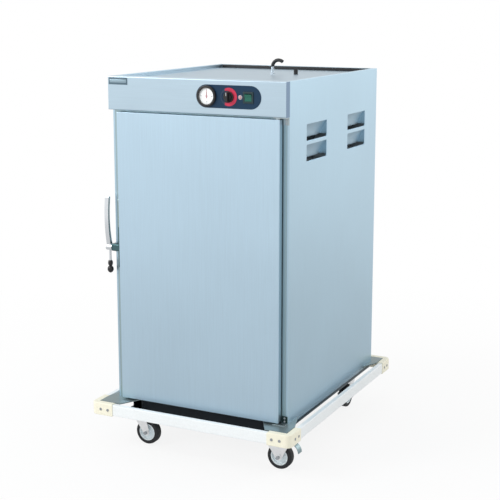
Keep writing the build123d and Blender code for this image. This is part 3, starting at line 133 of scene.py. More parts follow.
floor_radius = 14.0
bpy.ops.mesh.primitive_circle_add(vertices=64, radius=floor_radius, fill_type="NGON",
                                  location=(0.0, 0.0, 0.0))
floor = bpy.context.object
floor.name = "floor"
floor_paint = bpy.data.materials.new("floor_paint")
floor_paint.use_nodes = True
floor_tree = floor_paint.node_tree
floor_matt = floor_tree.nodes["Principled BSDF"]
floor_matt.inputs["Base Color"].default_value = (0.9, 0.9, 0.9, 1.0)
floor_matt.inputs["Roughness"].default_value = 0.85
floor_place = floor_tree.nodes.new("ShaderNodeTexCoord")
floor_reach = floor_tree.nodes.new("ShaderNodeVectorMath")
floor_reach.operation = "LENGTH"
floor_tree.links.new(floor_place.outputs["Object"], floor_reach.inputs[0])
floor_distance = floor_reach.outputs["Value"]
floor_clear = faded(floor_tree, floor_distance, near=0.7, far=2.6, near_level=0.86, far_level=1.0)
floor_share = combined(floor_tree, "MULTIPLY", seen_share(floor_tree), floor_clear)
floor_path = floor_tree.nodes.new("ShaderNodeLightPath")
floor_dim = faded(floor_tree, floor_distance, near=0.9, far=6.0, near_level=0.66, far_level=1.0)
floor_level = combined(floor_tree, "MAXIMUM", floor_path.outputs["Is Camera Ray"], floor_dim)
floor_white = floor_tree.nodes.new("ShaderNodeEmission")
floor_tree.links.new(floor_level, floor_white.inputs["Strength"])
floor_top = mixed(floor_tree, floor_share, floor_matt.outputs["BSDF"], floor_white.outputs["Emission"])
floor_side = floor_tree.nodes.new("ShaderNodeNewGeometry")
floor_open = floor_tree.nodes.new("ShaderNodeBsdfTransparent")
floor_all = mixed(floor_tree, floor_side.outputs["Backfacing"], floor_top, floor_open.outputs[0])
floor_tree.links.new(floor_all, floor_tree.nodes["Material Output"].inputs["Surface"])
floor.data.materials.append(floor_paint)


# Chassis. Square steel tubes, welded to a frame, with paler plates on its corners. Below the plates the
# tubes are painted near-black, as painted shade for the deep shade under the cart. A weld bead runs up
# each side of each cross tube, where it meets the long tubes.
def tint(red, green, blue):
    """A colour written as on a colour card, 0 to 255, as the shader's linear values."""
    return tuple((v / 255 / 12.92 if v <= 10 else ((v / 255 + 0.055) / 1.055) ** 2.4)
                 for v in (red, green, blue)) + (1.0,)


def brushed(name, colour, rough, grain, bump=0.04, metal=1.0, spread=0.05):
    """Satin metal. grain is the noise scale along X, Y and Z, so the smallest is the brushing direction."""
    line_share = 0.6
    cloud_share = 0.4
    smoother = 0.05
    rougher = 0.06
    mat = bpy.data.materials.new(name)
    mat.use_nodes = True
    tree = mat.node_tree
    shader = tree.nodes["Principled BSDF"]
    shader.inputs["Metallic"].default_value = metal
    place = tree.nodes.new("ShaderNodeTexCoord")
    stretch = tree.nodes.new("ShaderNodeMapping")
    stretch.inputs["Scale"].default_value = grain
    tree.links.new(place.outputs["Object"], stretch.inputs["Vector"])
    lines = tree.nodes.new("ShaderNodeTexNoise")
    lines.inputs["Scale"].default_value = 1.0
    lines.inputs["Detail"].default_value = 4.0
    lines.inputs["Roughness"].default_value = 0.6
    tree.links.new(stretch.outputs["Vector"], lines.inputs["Vector"])
    cloud = tree.nodes.new("ShaderNodeTexNoise")
    cloud.inputs["Scale"].default_value = 2.3
    cloud.inputs["Detail"].default_value = 2.0
    tree.links.new(place.outputs["Object"], cloud.inputs["Vector"])
    soft = tree.nodes.new("ShaderNodeMath")
    soft.operation = "MULTIPLY"
    soft.inputs[1].default_value = cloud_share
    tree.links.new(cloud.outputs["Fac"], soft.inputs[0])
    both = tree.nodes.new("ShaderNodeMath")
    both.operation = "MULTIPLY_ADD"
    both.inputs[1].default_value = line_share
    tree.links.new(lines.outputs["Fac"], both.inputs[0])
    tree.links.new(soft.outputs[0], both.inputs[2])
    shades = tree.nodes.new("ShaderNodeValToRGB")
    dark, light = shades.color_ramp.elements
    dark.position = 0.3
    light.position = 0.7
    dark.color = tuple(c * (1 - spread) for c in colour[:3]) + (1.0,)
    light.color = tuple(min(1.0, c * (1 + spread)) for c in colour[:3]) + (1.0,)
    tree.links.new(both.outputs[0], shades.inputs["Fac"])
    tree.links.new(shades.outputs["Color"], shader.inputs["Base Color"])
    rub = tree.nodes.new("ShaderNodeMapRange")
    rub.inputs["To Min"].default_value = rough - smoother
    rub.inputs["To Max"].default_value = rough + rougher
    tree.links.new(both.outputs[0], rub.inputs["Value"])
    tree.links.new(rub.outputs["Result"], shader.inputs["Roughness"])
    scratches = tree.nodes.new("ShaderNodeBump")
    scratches.inputs["Strength"].default_value = bump
    scratches.inputs["Distance"].default_value = 0.0004
    tree.links.new(lines.outputs["Fac"], scratches.inputs["Height"])
    tree.links.new(scratches.outputs["Normal"], shader.inputs["Normal"])
    return mat


def moulded(name, colour, rough, scale=260.0, bump=0.08, spread=0.05, metal=0.0):
    """Plastic, rubber or paint, with a fine even grain and a slight change of shade."""
    return brushed(name, colour, rough, (scale, scale, scale), bump, metal, spread)


def banded(mat, colour, axis, start, end):
    """Another colour on the part of the piece whose X, Y or Z lies between start and end."""
    tree = mat.node_tree
    shader = tree.nodes["Principled BSDF"]
    plain = shader.inputs["Base Color"].links[0].from_socket
    place = tree.nodes.new("ShaderNodeTexCoord")
    split = tree.nodes.new("ShaderNodeSeparateXYZ")
    tree.links.new(place.outputs["Object"], split.inputs[0])
    over = tree.nodes.new("ShaderNodeMath")
    over.operation = "GREATER_THAN"
    over.inputs[1].default_value = start
    tree.links.new(split.outputs[axis], over.inputs[0])
    under = tree.nodes.new("ShaderNodeMath")
    under.operation = "LESS_THAN"
    under.inputs[1].default_value = end
    tree.links.new(split.outputs[axis], under.inputs[0])
    within = combined(tree, "MULTIPLY", over.outputs[0], under.outputs[0])
    blend = tree.nodes.new("ShaderNodeMix")
    blend.data_type = "RGBA"
    # A Mix node's colour sockets share their names with its other sockets, so they go by number.
    blend_share = blend.inputs[0]
    first_colour = blend.inputs[6]
    second_colour = blend.inputs[7]
    second_colour.default_value = colour
    tree.links.new(within, blend_share)
    tree.links.new(plain, first_colour)
    tree.links.new(blend.outputs[2], shader.inputs["Base Color"])
    return mat


def dress(mat, *names):
    """Gives CAD nodes their finish."""
    for name in names:
        mesh = nodes[name].data
        mesh.materials.clear()
        mesh.materials.append(mat)


def turned_to(way):
    """The rotation that points a piece's +Z along way."""
    flat = math.hypot(way[0], way[1])
    return (0.0, math.atan2(flat, way[2]), math.atan2(way[1], way[0]))


def joined(pieces):
    """Several pieces as one."""
    bpy.ops.object.select_all(action="DESELECT")
    for one in pieces:
        one.select_set(True)
    bpy.context.view_layer.objects.active = pieces[0]
    bpy.ops.object.join()
    return bpy.context.object


def copies(pattern, places):
    """Copies of one fitting, each with its own mesh, turned and set in its place, then joined."""
    bpy.ops.object.select_all(action="DESELECT")
    pattern.select_set(True)
    bpy.context.view_layer.objects.active = pattern
    bpy.ops.object.transform_apply(location=True, rotation=True, scale=True)
    made = []
    for place, turn in places:
        bpy.ops.object.select_all(action="DESELECT")
        pattern.select_set(True)
        bpy.context.view_layer.objects.active = pattern
        bpy.ops.object.duplicate(linked=False)
        one = bpy.context.object
        one.location = place
        one.rotation_euler = turn
        made.append(one)
    bpy.data.objects.remove(pattern, do_unlink=True)
    return joined(made)


def settle(piece, name, mat, body):
    """Names a piece, gives it its finish, puts its place into its mesh and fixes it to its body."""
    crease = math.radians(35.0)
    bpy.ops.object.select_all(action="DESELECT")
    bpy.context.view_layer.objects.active = piece
    piece.select_set(True)
    piece.name = name
    bpy.ops.object.transform_apply(location=True, rotation=True, scale=True)
    piece.data.materials.clear()
    piece.data.materials.append(mat)
    bpy.ops.object.shade_smooth_by_angle(angle=crease)
    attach(piece, body)


def bead(radius, length):
    """A weld bead, standing on the origin."""
    bpy.ops.object.select_all(action="DESELECT")
    bpy.ops.mesh.primitive_cylinder_add(vertices=12, radius=radius, depth=length,
                                        location=(0.0, 0.0, length / 2))
    weld = bpy.context.object
    cuts = weld.modifiers.new("cuts", "SUBSURF")
    cuts.subdivision_type = "SIMPLE"
    cuts.levels = 2
    bpy.ops.object.modifier_apply(modifier="cuts")
    return weld


FRONT = turned_to((0, -1, 0))
BACK = turned_to((0, 1, 0))
LEFT = turned_to((-1, 0, 0))
RIGHT = turned_to((1, 0, 0))
UP = turned_to((0, 0, 1))
DOWN = turned_to((0, 0, -1))
tube_low, tube_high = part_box("chassis_frame")
corner_plate_thickness = 0.0043
chassis_paint_and_shade = brushed("chassis_paint_and_shade", tint(132, 146, 148), 0.45, (60.0, 60.0, 60.0), metal=0.7, spread=0.08)
# Painted shade: the tubes below the corner plates are near-black, for the deep shade under the cart.
banded(chassis_paint_and_shade, tint(24, 30, 36), "Z", tube_low.z - 0.01, tube_high.z - corner_plate_thickness)
dress(chassis_paint_and_shade, "chassis_frame")
weld_grey = moulded("weld_grey", tint(40, 46, 50), 0.5, scale=500.0, bump=0.3)
long_tube_face = 0.2695
cross_tubes = (-0.395, 0.015, 0.425)
cross_tube_half = 0.0203
bead_foot = tube_low.z + 0.002
beads = []
for x_face in (-long_tube_face, long_tube_face):
    for y_mid in cross_tubes:
        for y_face in (y_mid - cross_tube_half, y_mid + cross_tube_half):
            beads.append(((x_face, y_face, bead_foot), UP))
settle(copies(bead(radius=0.0016, length=0.042), beads), "chassis_welds", weld_grey, "cabinet")


# Casters. A pressed and plated fork with a moulded hub and a rubber tyre swivels under a plate that is
# bolted up into the chassis. A nut closes each end of the axle, and two casters have a brake pedal.
def pick_top(piece):
    """Edit mode on an upright piece, with only its top face selected."""
    top = max(face.center.z for face in piece.data.polygons)
    slack = 1e-5
    bpy.ops.object.mode_set(mode="EDIT")
    bpy.ops.mesh.select_mode(type="FACE")
    bpy.ops.mesh.select_all(action="DESELECT")
    bpy.ops.object.mode_set(mode="OBJECT")
    for face in piece.data.polygons:
        face.select = face.center.z > top - slack
    bpy.ops.object.mode_set(mode="EDIT")


def raise_face(height):
    """Pulls the selected face up into a new step, or down where height is negative."""
    bpy.ops.mesh.extrude_region_move(TRANSFORM_OT_translate={"value": (0.0, 0.0, height)})


def hex_nut(radius, height):
    """A six-sided nut with a raised collar, standing on the origin."""
    shoulder = radius * 0.22
    collar_height = height * 0.3
    collar_wall = radius * 0.2
    bore_depth = height * 0.2
    bpy.ops.object.select_all(action="DESELECT")
    bpy.ops.mesh.primitive_cylinder_add(vertices=6, radius=radius, depth=height,
                                        location=(0.0, 0.0, height / 2))
    nut = bpy.context.object
    pick_top(nut)
    bpy.ops.mesh.inset(thickness=shoulder)
    raise_face(collar_height)
    bpy.ops.mesh.inset(thickness=collar_wall)
    raise_face(-bore_depth)
    bpy.ops.object.mode_set(mode="OBJECT")
    edge = nut.modifiers.new("edge", "BEVEL")
    edge.width = radius * 0.06
    edge.segments = 2
    bpy.ops.object.modifier_apply(modifier="edge")
    return nut


zinc = brushed("zinc_plate", tint(186, 198, 202), 0.42, (60.0, 60.0, 60.0), bump=0.03, metal=0.9, spread=0.1)
fork_zinc = brushed("fork_zinc", tint(250, 252, 254), 0.34, (90.0, 90.0, 90.0), bump=0.03, metal=0.9,
                    spread=0.08)
pedal_zinc = brushed("pedal_zinc", tint(146, 166, 170), 0.4, (90.0, 90.0, 90.0), bump=0.03, metal=0.9,
                     spread=0.08)
hub_plastic = moulded("hub_plastic", tint(232, 242, 246), 0.45)
tyre_rubber = moulded("tyre_rubber", tint(24, 27, 31), 0.62, scale=420.0, bump=0.2, spread=0.15)
screw_zinc = brushed("screw_zinc", tint(176, 180, 184), 0.3, (200.0, 200.0, 200.0), bump=0.02, metal=0.95,
                     spread=0.06)
dress(zinc, "caster_plates")
dress(pedal_zinc, "brake_pedal_front_right", "brake_pedal_rear_left")
nut_seat = 0.0004
for corner in ("front_left", "front_right", "rear_left", "rear_right"):
    dress(fork_zinc, "caster_fork_" + corner)
    dress(hub_plastic, "caster_hub_" + corner)
    dress(tyre_rubber, "caster_tyre_" + corner)
    fork_low, fork_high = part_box("caster_fork_" + corner)
    hub_low, hub_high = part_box("caster_hub_" + corner)
    wheel = (hub_low + hub_high) / 2
    rolls_along_x = hub_high.x - hub_low.x > hub_high.y - hub_low.y
    if rolls_along_x:
        axle_ends = [((wheel.x, fork_low.y + nut_seat, wheel.z), FRONT),
                     ((wheel.x, fork_high.y - nut_seat, wheel.z), BACK)]
    else:
        axle_ends = [((fork_low.x + nut_seat, wheel.y, wheel.z), LEFT),
                     ((fork_high.x - nut_seat, wheel.y, wheel.z), RIGHT)]
    settle(copies(hex_nut(radius=0.0075, height=0.005), axle_ends), "axle_nuts_" + corner, screw_zinc,
           "swivel_" + corner)
plate_low, plate_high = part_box("caster_plates")
plate_half_x = 0.042
plate_half_y = 0.05
bolt_inset = 0.01
bolt_seat = plate_high.z - 0.0038
bolts = []
for plate_x in (plate_low.x + plate_half_x, plate_high.x - plate_half_x):
    for plate_y in (plate_low.y + plate_half_y, plate_high.y - plate_half_y):
        for side_x in (bolt_inset - plate_half_x, plate_half_x - bolt_inset):
            for side_y in (bolt_inset - plate_half_y, plate_half_y - bolt_inset):
                bolts.append(((plate_x + side_x, plate_y + side_y, bolt_seat), DOWN))
settle(copies(hex_nut(radius=0.0078, height=0.0052), bolts), "caster_plate_bolts", screw_zinc, "cabinet")


# Bumper. Off-white extruded strips run round the chassis, between cream moulded corners. Each leg of a
# corner is held by two plated pan head screws, whose heads stand a little proud of its face.
def pan_head(radius, height):
    """A low screw head with a socket, standing on the origin."""
    slope = radius * 0.28
    crown = height * 0.25
    socket_wall = radius * 0.26
    socket_depth = height * 0.7
    bpy.ops.object.select_all(action="DESELECT")
    bpy.ops.mesh.primitive_cylinder_add(vertices=18, radius=radius, depth=height,
                                        location=(0.0, 0.0, height / 2))
    head = bpy.context.object
    pick_top(head)
    bpy.ops.mesh.inset(thickness=slope)
    bpy.ops.transform.translate(value=(0.0, 0.0, crown))
    bpy.ops.mesh.inset(thickness=socket_wall)
    raise_face(-socket_depth)
    bpy.ops.object.mode_set(mode="OBJECT")
    return head


strip_plastic = moulded("strip_plastic", tint(243, 247, 248), 0.4, scale=180.0)
corner_plastic = moulded("corner_plastic", tint(247, 243, 222), 0.45, scale=180.0)
dress(strip_plastic, "bumper_rails")
dress(corner_plastic, "bumper_corners")
bumper_low, bumper_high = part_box("bumper_corners")
bumper_level = (bumper_low.z + bumper_high.z) / 2
from_corner = (0.044, 0.076)
bumper_places = []
for x_face, x_turn in ((bumper_low.x, LEFT), (bumper_high.x, RIGHT)):
    for y_face, y_turn in ((bumper_low.y, FRONT), (bumper_high.y, BACK)):
        for along in from_corner:
            x_in = x_face - math.copysign(along, x_face)
            y_in = y_face - math.copysign(along, y_face)
            bumper_places.append(((x_in, y_face, bumper_level), y_turn))
            bumper_places.append(((x_face, y_in, bumper_level), x_turn))
settle(copies(pan_head(radius=0.0055, height=0.0012), bumper_places), "bumper_screws", screw_zinc, "cabinet")

# Casing. Satin stainless sheet, brushed upright, on a plated floor: two sides with pressed vents, and a
# plain rear panel, held by pan head screws down both edges and along the top and the foot. The sheet has
# a darker tint than the door's, as painted shade on the sides and the back.
# Painted shade: the same stainless as the door, in a darker tint.
shaded_satin_side = brushed("shaded_satin_side", tint(180, 206, 221), 0.36, (500.0, 500.0, 7.0))
dress(zinc, "floor_panel")
dress(shaded_satin_side, "side_panel_left", "side_panel_right", "rear_panel", "vent_louvres")
rear_low, rear_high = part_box("rear_panel")
rear_face = rear_high.y
rear_screw_x = rear_high.x - 0.0125
rear_foot = rear_low.z + 0.02
rear_head = rear_high.z - 0.023
rear_screws_up = 7
rear_places = []
for x_mid in (-rear_screw_x, rear_screw_x):
    for k in range(rear_screws_up):
        level = rear_foot + k * (rear_head - rear_foot) / (rear_screws_up - 1)
        rear_places.append(((x_mid, rear_face, level), BACK))
for x_mid in (-rear_screw_x / 2, 0.0, rear_screw_x / 2):
    for level in (rear_foot, rear_head):
        rear_places.append(((x_mid, rear_face, level), BACK))
settle(copies(pan_head(radius=0.0042, height=0.0018), rear_places), "rear_screws", screw_zinc, "cabinet")


# Side sills. A folded strip of satin sheet closes the gap between each side and the chassis, and stands
# higher between the corner plates. Its lower edge is painted dark, as painted shade for the shaded gap
# above the bumper.
def rounded_box(middle, size, edge, turn=(0.0, 0.0, 0.0)):
    bpy.ops.object.select_all(action="DESELECT")
    bpy.ops.mesh.primitive_cube_add(size=1.0, location=middle, rotation=turn)
    block = bpy.context.object
    block.scale = size
    bpy.ops.object.transform_apply(location=False, rotation=False, scale=True)
    if edge:
        soft = block.modifiers.new("edge", "BEVEL")
        soft.width = edge
        soft.segments = 3
        bpy.ops.object.modifier_apply(modifier="edge")
    return block


side_low, side_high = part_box("side_panel_right")
sill_x = side_high.x - 0.0035
leg_size = (0.006, side_high.y - side_low.y, 0.0204)
leg_level = side_low.z - 0.0146
crest_front = side_low.y + 0.113
crest_back = side_high.y - 0.117
crest_size = (0.0056, crest_back - crest_front, 0.0058)
crest_level = side_low.z - 0.0031
shade_band_foot = side_low.z - 0.03
shade_band_top = side_low.z - 0.0115
sill_skin = brushed("sill_skin", tint(170, 194, 208), 0.36, (500.0, 7.0, 500.0))
# Painted shade: a dark band along the sill's lower edge.
banded(sill_skin, tint(52, 74, 84), "Z", shade_band_foot, shade_band_top)
for side, x_mid in (("left", -sill_x), ("right", sill_x)):
    leg = rounded_box((x_mid, 0.0, leg_level), leg_size, edge=0.0008)
    crest = rounded_box((x_mid, (crest_front + crest_back) / 2, crest_level), crest_size, edge=0.0006)
    settle(joined([leg, crest]), "side_sill_" + side, sill_skin, "cabinet")

# Front frame. Folded stainless sheet round the door's opening, brushed upright. It lies back behind the
# door's face and has a darker tint than the sides, as painted shade.
# Painted shade: the frame's stainless in a darker tint than the sides'.
shaded_satin_frame = brushed("shaded_satin_frame", tint(164, 186, 192), 0.36, (500.0, 500.0, 7.0))
dress(shaded_satin_frame, "front_frame")

# Header. A folded box of stainless sheet above the door, brushed crosswise, whose fold at the right end
# is painted darker, as painted shade on that end face. A blank metal plate in a dark frame is fixed at
# its top left.
header_low, header_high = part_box("header_panel")
satin_head = brushed("satin_head", tint(184, 204, 217), 0.36, (7.0, 500.0, 500.0))
# Painted shade: a darker band on the header's right end face.
banded(satin_head, tint(120, 142, 166), "X", header_high.x - 0.0008, header_high.x + 0.01)
dress(satin_head, "header_panel")
badge_x = header_low.x + 0.0445
badge_level = header_high.z - 0.0175
badge_edge = moulded("badge_edge", tint(84, 108, 122), 0.4, scale=200.0, bump=0.02)
badge_blank = brushed("badge_blank", tint(150, 172, 184), 0.35, (300.0, 300.0, 9.0))
badge_rim_place = (badge_x, header_low.y - 0.00045, badge_level)
badge_rim_size = (0.082, 0.0011, 0.0265)
badge_face_place = (badge_x, header_low.y - 0.0011, badge_level)
badge_face_size = (0.072, 0.0008, 0.0125)
badge_rim = rounded_box(badge_rim_place, badge_rim_size, edge=0.0004)
settle(badge_rim, "badge_plate", badge_edge, "cabinet")
badge_face = rounded_box(badge_face_place, badge_face_size, edge=0.0003)
settle(badge_face, "badge_blank", badge_blank, "cabinet")

# Top tray. A stainless pan sunk between the casing's rims, in a darker tint than the door as painted
# shade, with a black strip inside its back rim as painted shade on the rim's inner face, and a short black
# stub. A chrome post with a bent rubber sleeve stands on it.
# Painted shade: the tray's stainless in a darker tint than the door's.
shaded_satin_top = brushed("shaded_satin_top", tint(162, 182, 195), 0.36, (7.0, 500.0, 500.0))
sleeve_rubber = moulded("sleeve_rubber", tint(30, 30, 32), 0.5)
chrome = brushed("chrome", tint(222, 226, 230), 0.16, (60.0, 60.0, 60.0), bump=0.01, spread=0.03)
dress(shaded_satin_top, "top_panel")
dress(chrome, "hook_post")
dress(sleeve_rubber, "hook_sleeve")
tray_low, tray_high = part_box("top_panel")
# Painted shade: a black strip stands inside the back rim, for the shade on the rim's inner face.
shade_strip_place = (0.0, tray_high.y - 0.0014, tray_high.z - 0.0061)
shade_strip_size = (0.7, 0.0022, 0.0132)
settle(rounded_box(shade_strip_place, shade_strip_size, edge=0.0006), "rim_shade_strip", sleeve_rubber, "cabinet")
tray_sheet = 0.0012
stub_height = 0.019
stub_radius = 0.0085
stub_wall = 0.0025
stub_hollow = 0.002
# A short black stub, a dark mark on the tray.
stub_place = (0.131, 0.1585, tray_low.z + tray_sheet + stub_height / 2)
bpy.ops.object.select_all(action="DESELECT")
bpy.ops.mesh.primitive_cylinder_add(vertices=32, radius=stub_radius, depth=stub_height, location=stub_place)
stub = bpy.context.object
pick_top(stub)
bpy.ops.mesh.inset(thickness=stub_wall)
raise_face(-stub_hollow)
bpy.ops.object.mode_set(mode="OBJECT")
settle(stub, "tray_stub", sleeve_rubber, "cabinet")

# Chamber. A bright steel liner with upright posts and folded ledges for the trays, and a water pan on
# its floor. Pressed fibre boards behind the liner keep the heat in.
liner_steel = brushed("liner_steel", tint(176, 182, 186), 0.38, (400.0, 400.0, 9.0))
fibre = moulded("fibre_board", tint(146, 156, 162), 0.9, scale=90.0, bump=0.5, spread=0.12)
dress(liner_steel, "liner_sides", "liner_rear", "liner_top", "liner_floor", "rack_posts", "tray_ledges",
      "water_pan")
dress(fibre, "insulation")

# Heater and fan. A bent tubular element with an oxidised skin goes round a plated fan wheel, above a
# steel baffle. The painted motor sits in the chamber's roof. A black gland is screwed into the back.
heater_skin = moulded("heater_skin", tint(84, 80, 76), 0.55, scale=300.0, bump=0.2, spread=0.15, metal=0.6)
motor_paint = moulded("motor_paint", tint(70, 74, 78), 0.5)
black_plastic = moulded("black_plastic", tint(26, 26, 28), 0.4)
dress(heater_skin, "heating_element")
dress(zinc, "fan_impeller")
dress(motor_paint, "fan_motor")
dress(liner_steel, "fan_baffle")
dress(black_plastic, "cord_inlet")

# Control plate and thermometer. A blue painted plate on the header carries a black moulded bezel with a
# white printed face, whose needle and plain figures lie under a clear moulded cover.
plate_blue = tint(22, 54, 80)
plate_paint = moulded("plate_paint", plate_blue, 0.35, scale=200.0, bump=0.02)
plate_paint.node_tree.nodes["Principled BSDF"].inputs["Specular IOR Level"].default_value = 0.25
dial_white = moulded("dial_white", tint(240, 243, 243), 0.5, scale=100.0, bump=0.0, spread=0.01)
needle_paint = moulded("needle_paint", tint(176, 92, 104), 0.4)
ink = moulded("ink", tint(96, 100, 108), 0.5, scale=300.0, bump=0.0)
dress(plate_paint, "control_plate")
dress(black_plastic, "dial_bezel")
dress(dial_white, "dial_face")
dress(needle_paint, "dial_pointer")
dial_low, dial_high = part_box("dial_face")
dial = (dial_low + dial_high) / 2
print_y = dial_high.y - 0.00205


def on_dial(turn, out, y):
    """A place on the dial, turned clockwise from the top, at a distance from its middle."""
    return (dial.x + out * math.sin(turn), y, dial.z + out * math.cos(turn))


tick_count = 36
ticks_per_figure = 9
long_tick_out = 0.0272
long_tick_size = (0.0009, 0.0002, 0.0038)
short_tick_out = 0.0278
short_tick_size = (0.0005, 0.0002, 0.0022)
long_ticks = []
short_ticks = []
for k in range(tick_count):
    turn = math.radians(k * 360.0 / tick_count)
    if k % ticks_per_figure == 0:
        long_ticks.append((on_dial(turn, long_tick_out, print_y), (0.0, turn, 0.0)))
    else:
        short_ticks.append((on_dial(turn, short_tick_out, print_y), (0.0, turn, 0.0)))
long_set = copies(rounded_box((0.0, 0.0, 0.0), long_tick_size, edge=0.0), long_ticks)
short_set = copies(rounded_box((0.0, 0.0, 0.0), short_tick_size, edge=0.0), short_ticks)
settle(joined([long_set, short_set]), "dial_ticks", ink, "cabinet")
figures_out = 0.0205
figure_height = 0.0062
figure_relief = 0.0001
figures = []
for k, figure in enumerate(("0", "30", "60", "90")):
    turn = math.radians(k * 90.0)
    bpy.ops.object.select_all(action="DESELECT")
    bpy.ops.object.text_add(location=on_dial(turn, figures_out, print_y + figure_relief),
                            rotation=(math.pi / 2, 0.0, 0.0))
    words = bpy.context.object
    words.data.body = figure
    words.data.size = figure_height
    words.data.extrude = figure_relief
    words.data.align_x = "CENTER"
    words.data.align_y = "CENTER"
    bpy.ops.object.convert(target="MESH")
    figures.append(bpy.context.object)
settle(joined(figures), "dial_figures", ink, "cabinet")

clear = bpy.data.materials.new("clear_cover")
clear.use_nodes = True
clear_tree = clear.node_tree
clear_shader = clear_tree.nodes["Principled BSDF"]
clear_shader.inputs["Base Color"].default_value = (1.0, 1.0, 1.0, 1.0)
clear_shader.inputs["Roughness"].default_value = 0.03
clear_shader.inputs["IOR"].default_value = 1.2
clear_shader.inputs["Transmission Weight"].default_value = 1.0
clear_place = clear_tree.nodes.new("ShaderNodeTexCoord")
clear_grain = clear_tree.nodes.new("ShaderNodeTexNoise")
clear_grain.inputs["Scale"].default_value = 40.0
clear_tree.links.new(clear_place.outputs["Object"], clear_grain.inputs["Vector"])
clear_bump = clear_tree.nodes.new("ShaderNodeBump")
clear_bump.inputs["Strength"].default_value = 0.01
clear_bump.inputs["Distance"].default_value = 0.0001
clear_tree.links.new(clear_grain.outputs["Fac"], clear_bump.inputs["Height"])
clear_tree.links.new(clear_bump.outputs["Normal"], clear_shader.inputs["Normal"])
clear_path = clear_tree.nodes.new("ShaderNodeLightPath")
clear_open = clear_tree.nodes.new("ShaderNodeBsdfTransparent")
clear_all = mixed(clear_tree, clear_path.outputs["Is Shadow Ray"], clear_shader.outputs["BSDF"],
                  clear_open.outputs[0])
clear_tree.links.new(clear_all, clear_tree.nodes["Material Output"].inputs["Surface"])
cover_radius = 0.0301
cover_thickness = 0.0008
cover_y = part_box("dial_bezel")[0].y + 0.0025
bpy.ops.object.select_all(action="DESELECT")
bpy.ops.mesh.primitive_cylinder_add(vertices=64, radius=cover_radius, depth=cover_thickness,
                                    location=(dial.x, cover_y, dial.z), rotation=(math.pi / 2, 0.0, 0.0))
settle(bpy.context.object, "dial_cover", clear, "cabinet")

# Thermostat. A moulded black knob with a white mark turns on a body fixed through the plate. The scale
# round it is printed red on the right, and in the plate's blue on the left.
knob_low, knob_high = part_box("thermostat_knob")
knob = (knob_low + knob_high) / 2
ring_print = moulded("ring_print", tint(204, 44, 78), 0.35, scale=200.0, bump=0.02)
banded(ring_print, plate_blue, "X", knob.x - 0.044, knob.x - 0.0155)
mark_white = moulded("mark_white", tint(226, 226, 228), 0.4, scale=300.0, bump=0.0)
dress(black_plastic, "thermostat_knob", "thermostat_body")
dress(ring_print, "scale_ring")
mark_place = (knob.x, knob_low.y - 0.00005, knob.z + 0.0108)
mark_size = (0.0018, 0.0003, 0.0115)
settle(rounded_box(mark_place, mark_size, edge=0.0001), "knob_mark", mark_white, "knob")

# Pilot lamp and switch. A small pale lens in a chrome ring, and a green rocker in a dark moulded frame,
# both pressed into the plate from the front.
lamp_lens = moulded("lamp_lens", tint(206, 160, 164), 0.2, scale=200.0, bump=0.02)
frame_green = moulded("frame_green", tint(16, 46, 52), 0.4)
rocker_green = moulded("rocker_green", tint(14, 96, 80), 0.3, scale=200.0, bump=0.02)
dress(lamp_lens, "pilot_lamp")
dress(frame_green, "switch_frame")
dress(rocker_green, "switch_rocker")
lens_low, lens_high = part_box("pilot_lamp")
lens = (lens_low + lens_high) / 2
ring_radius = 0.0069
ring_wire = 0.0011
ring_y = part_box("control_plate")[0].y - 0.0005
bpy.ops.object.select_all(action="DESELECT")
bpy.ops.mesh.primitive_torus_add(major_segments=40, minor_segments=10, major_radius=ring_radius,
                                 minor_radius=ring_wire, location=(lens.x, ring_y, lens.z),
                                 rotation=(math.pi / 2, 0.0, 0.0))
settle(bpy.context.object, "lamp_ring", chrome, "cabinet")

# Door. A folded outer skin of satin stainless sheet, brushed upright, with a fibre board in it and a
# liner steel pan on its inside. A moulded rubber gasket runs round the pan.
satin_door = brushed("satin_stainless", tint(190, 214, 230), 0.36, (500.0, 500.0, 7.0))
gasket_rubber = moulded("gasket_rubber", tint(46, 48, 50), 0.7)
dress(satin_door, "door_skin")
dress(fibre, "door_core")
dress(liner_steel, "door_liner")
dress(gasket_rubber, "door_gasket")

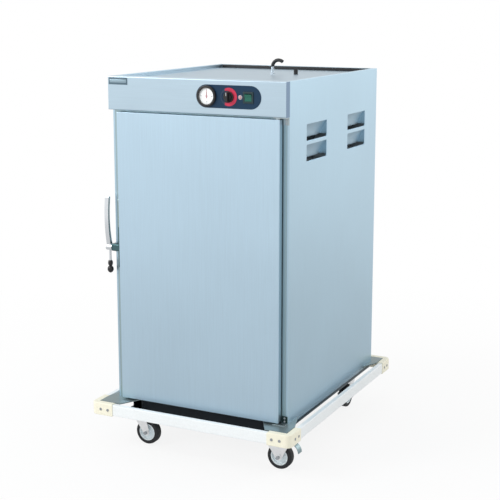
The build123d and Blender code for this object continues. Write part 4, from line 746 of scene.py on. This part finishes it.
# Hinges. A bent steel bracket above the door and one below it, each with a pin and held to the front
# frame by two pan head screws. The lower one is darker than the upper one.
hinge_low, hinge_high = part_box("hinge_brackets")
hinge_steel = brushed("hinge_steel", tint(170, 182, 186), 0.4, (200.0, 200.0, 40.0))
banded(hinge_steel, tint(48, 66, 66), "Z", hinge_low.z + 0.0035, hinge_low.z + 0.036)
dress(hinge_steel, "hinge_brackets")
hinge_screw_x = hinge_high.x - 0.011
hinge_face = hinge_high.y - 0.003
hinge_places = []
for from_end in (0.01, 0.0225):
    hinge_places.append(((hinge_screw_x, hinge_face, hinge_low.z + from_end), FRONT))
    hinge_places.append(((hinge_screw_x, hinge_face, hinge_high.z - from_end), FRONT))
settle(copies(pan_head(radius=0.0038, height=0.0016), hinge_places), "hinge_screws", screw_zinc, "cabinet")

# Latch. A steel plate screwed to the door's left edge carries a chrome lever with a moulded black knob,
# which hooks into a strike that is screwed to the side of the casing.
latch_low, latch_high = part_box("latch_bracket")
latch_steel = brushed("latch_steel", tint(150, 168, 164), 0.4, (200.0, 200.0, 40.0))
# The plate is darker over most of its height.
banded(latch_steel, tint(78, 106, 110), "Z", latch_low.z - 0.022, latch_low.z + 0.16)
dress(latch_steel, "latch_bracket", "latch_strike")
dress(chrome, "latch_lever")
dress(black_plastic, "latch_knob")
latch_face = latch_high.x - 0.004
latch_y = (latch_low.y + latch_high.y) / 2
latch_levels = [latch_low.z + up for up in (0.01, 0.038, 0.138, 0.198)] + [latch_high.z - 0.01]
latch_places = [((latch_face, latch_y, level), LEFT) for level in latch_levels]
settle(copies(pan_head(radius=0.0038, height=0.0016), latch_places), "latch_plate_screws", screw_zinc, "door")
strike_low, strike_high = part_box("latch_strike")
strike_face = strike_high.x - 0.003
strike_y = (strike_low.y + strike_high.y) / 2
strike_levels = (strike_low.z + 0.0065, strike_high.z - 0.0065)
strike_places = [((strike_face, strike_y, level), LEFT) for level in strike_levels]
settle(copies(pan_head(radius=0.0034, height=0.0014), strike_places), "strike_screws", screw_zinc, "cabinet")
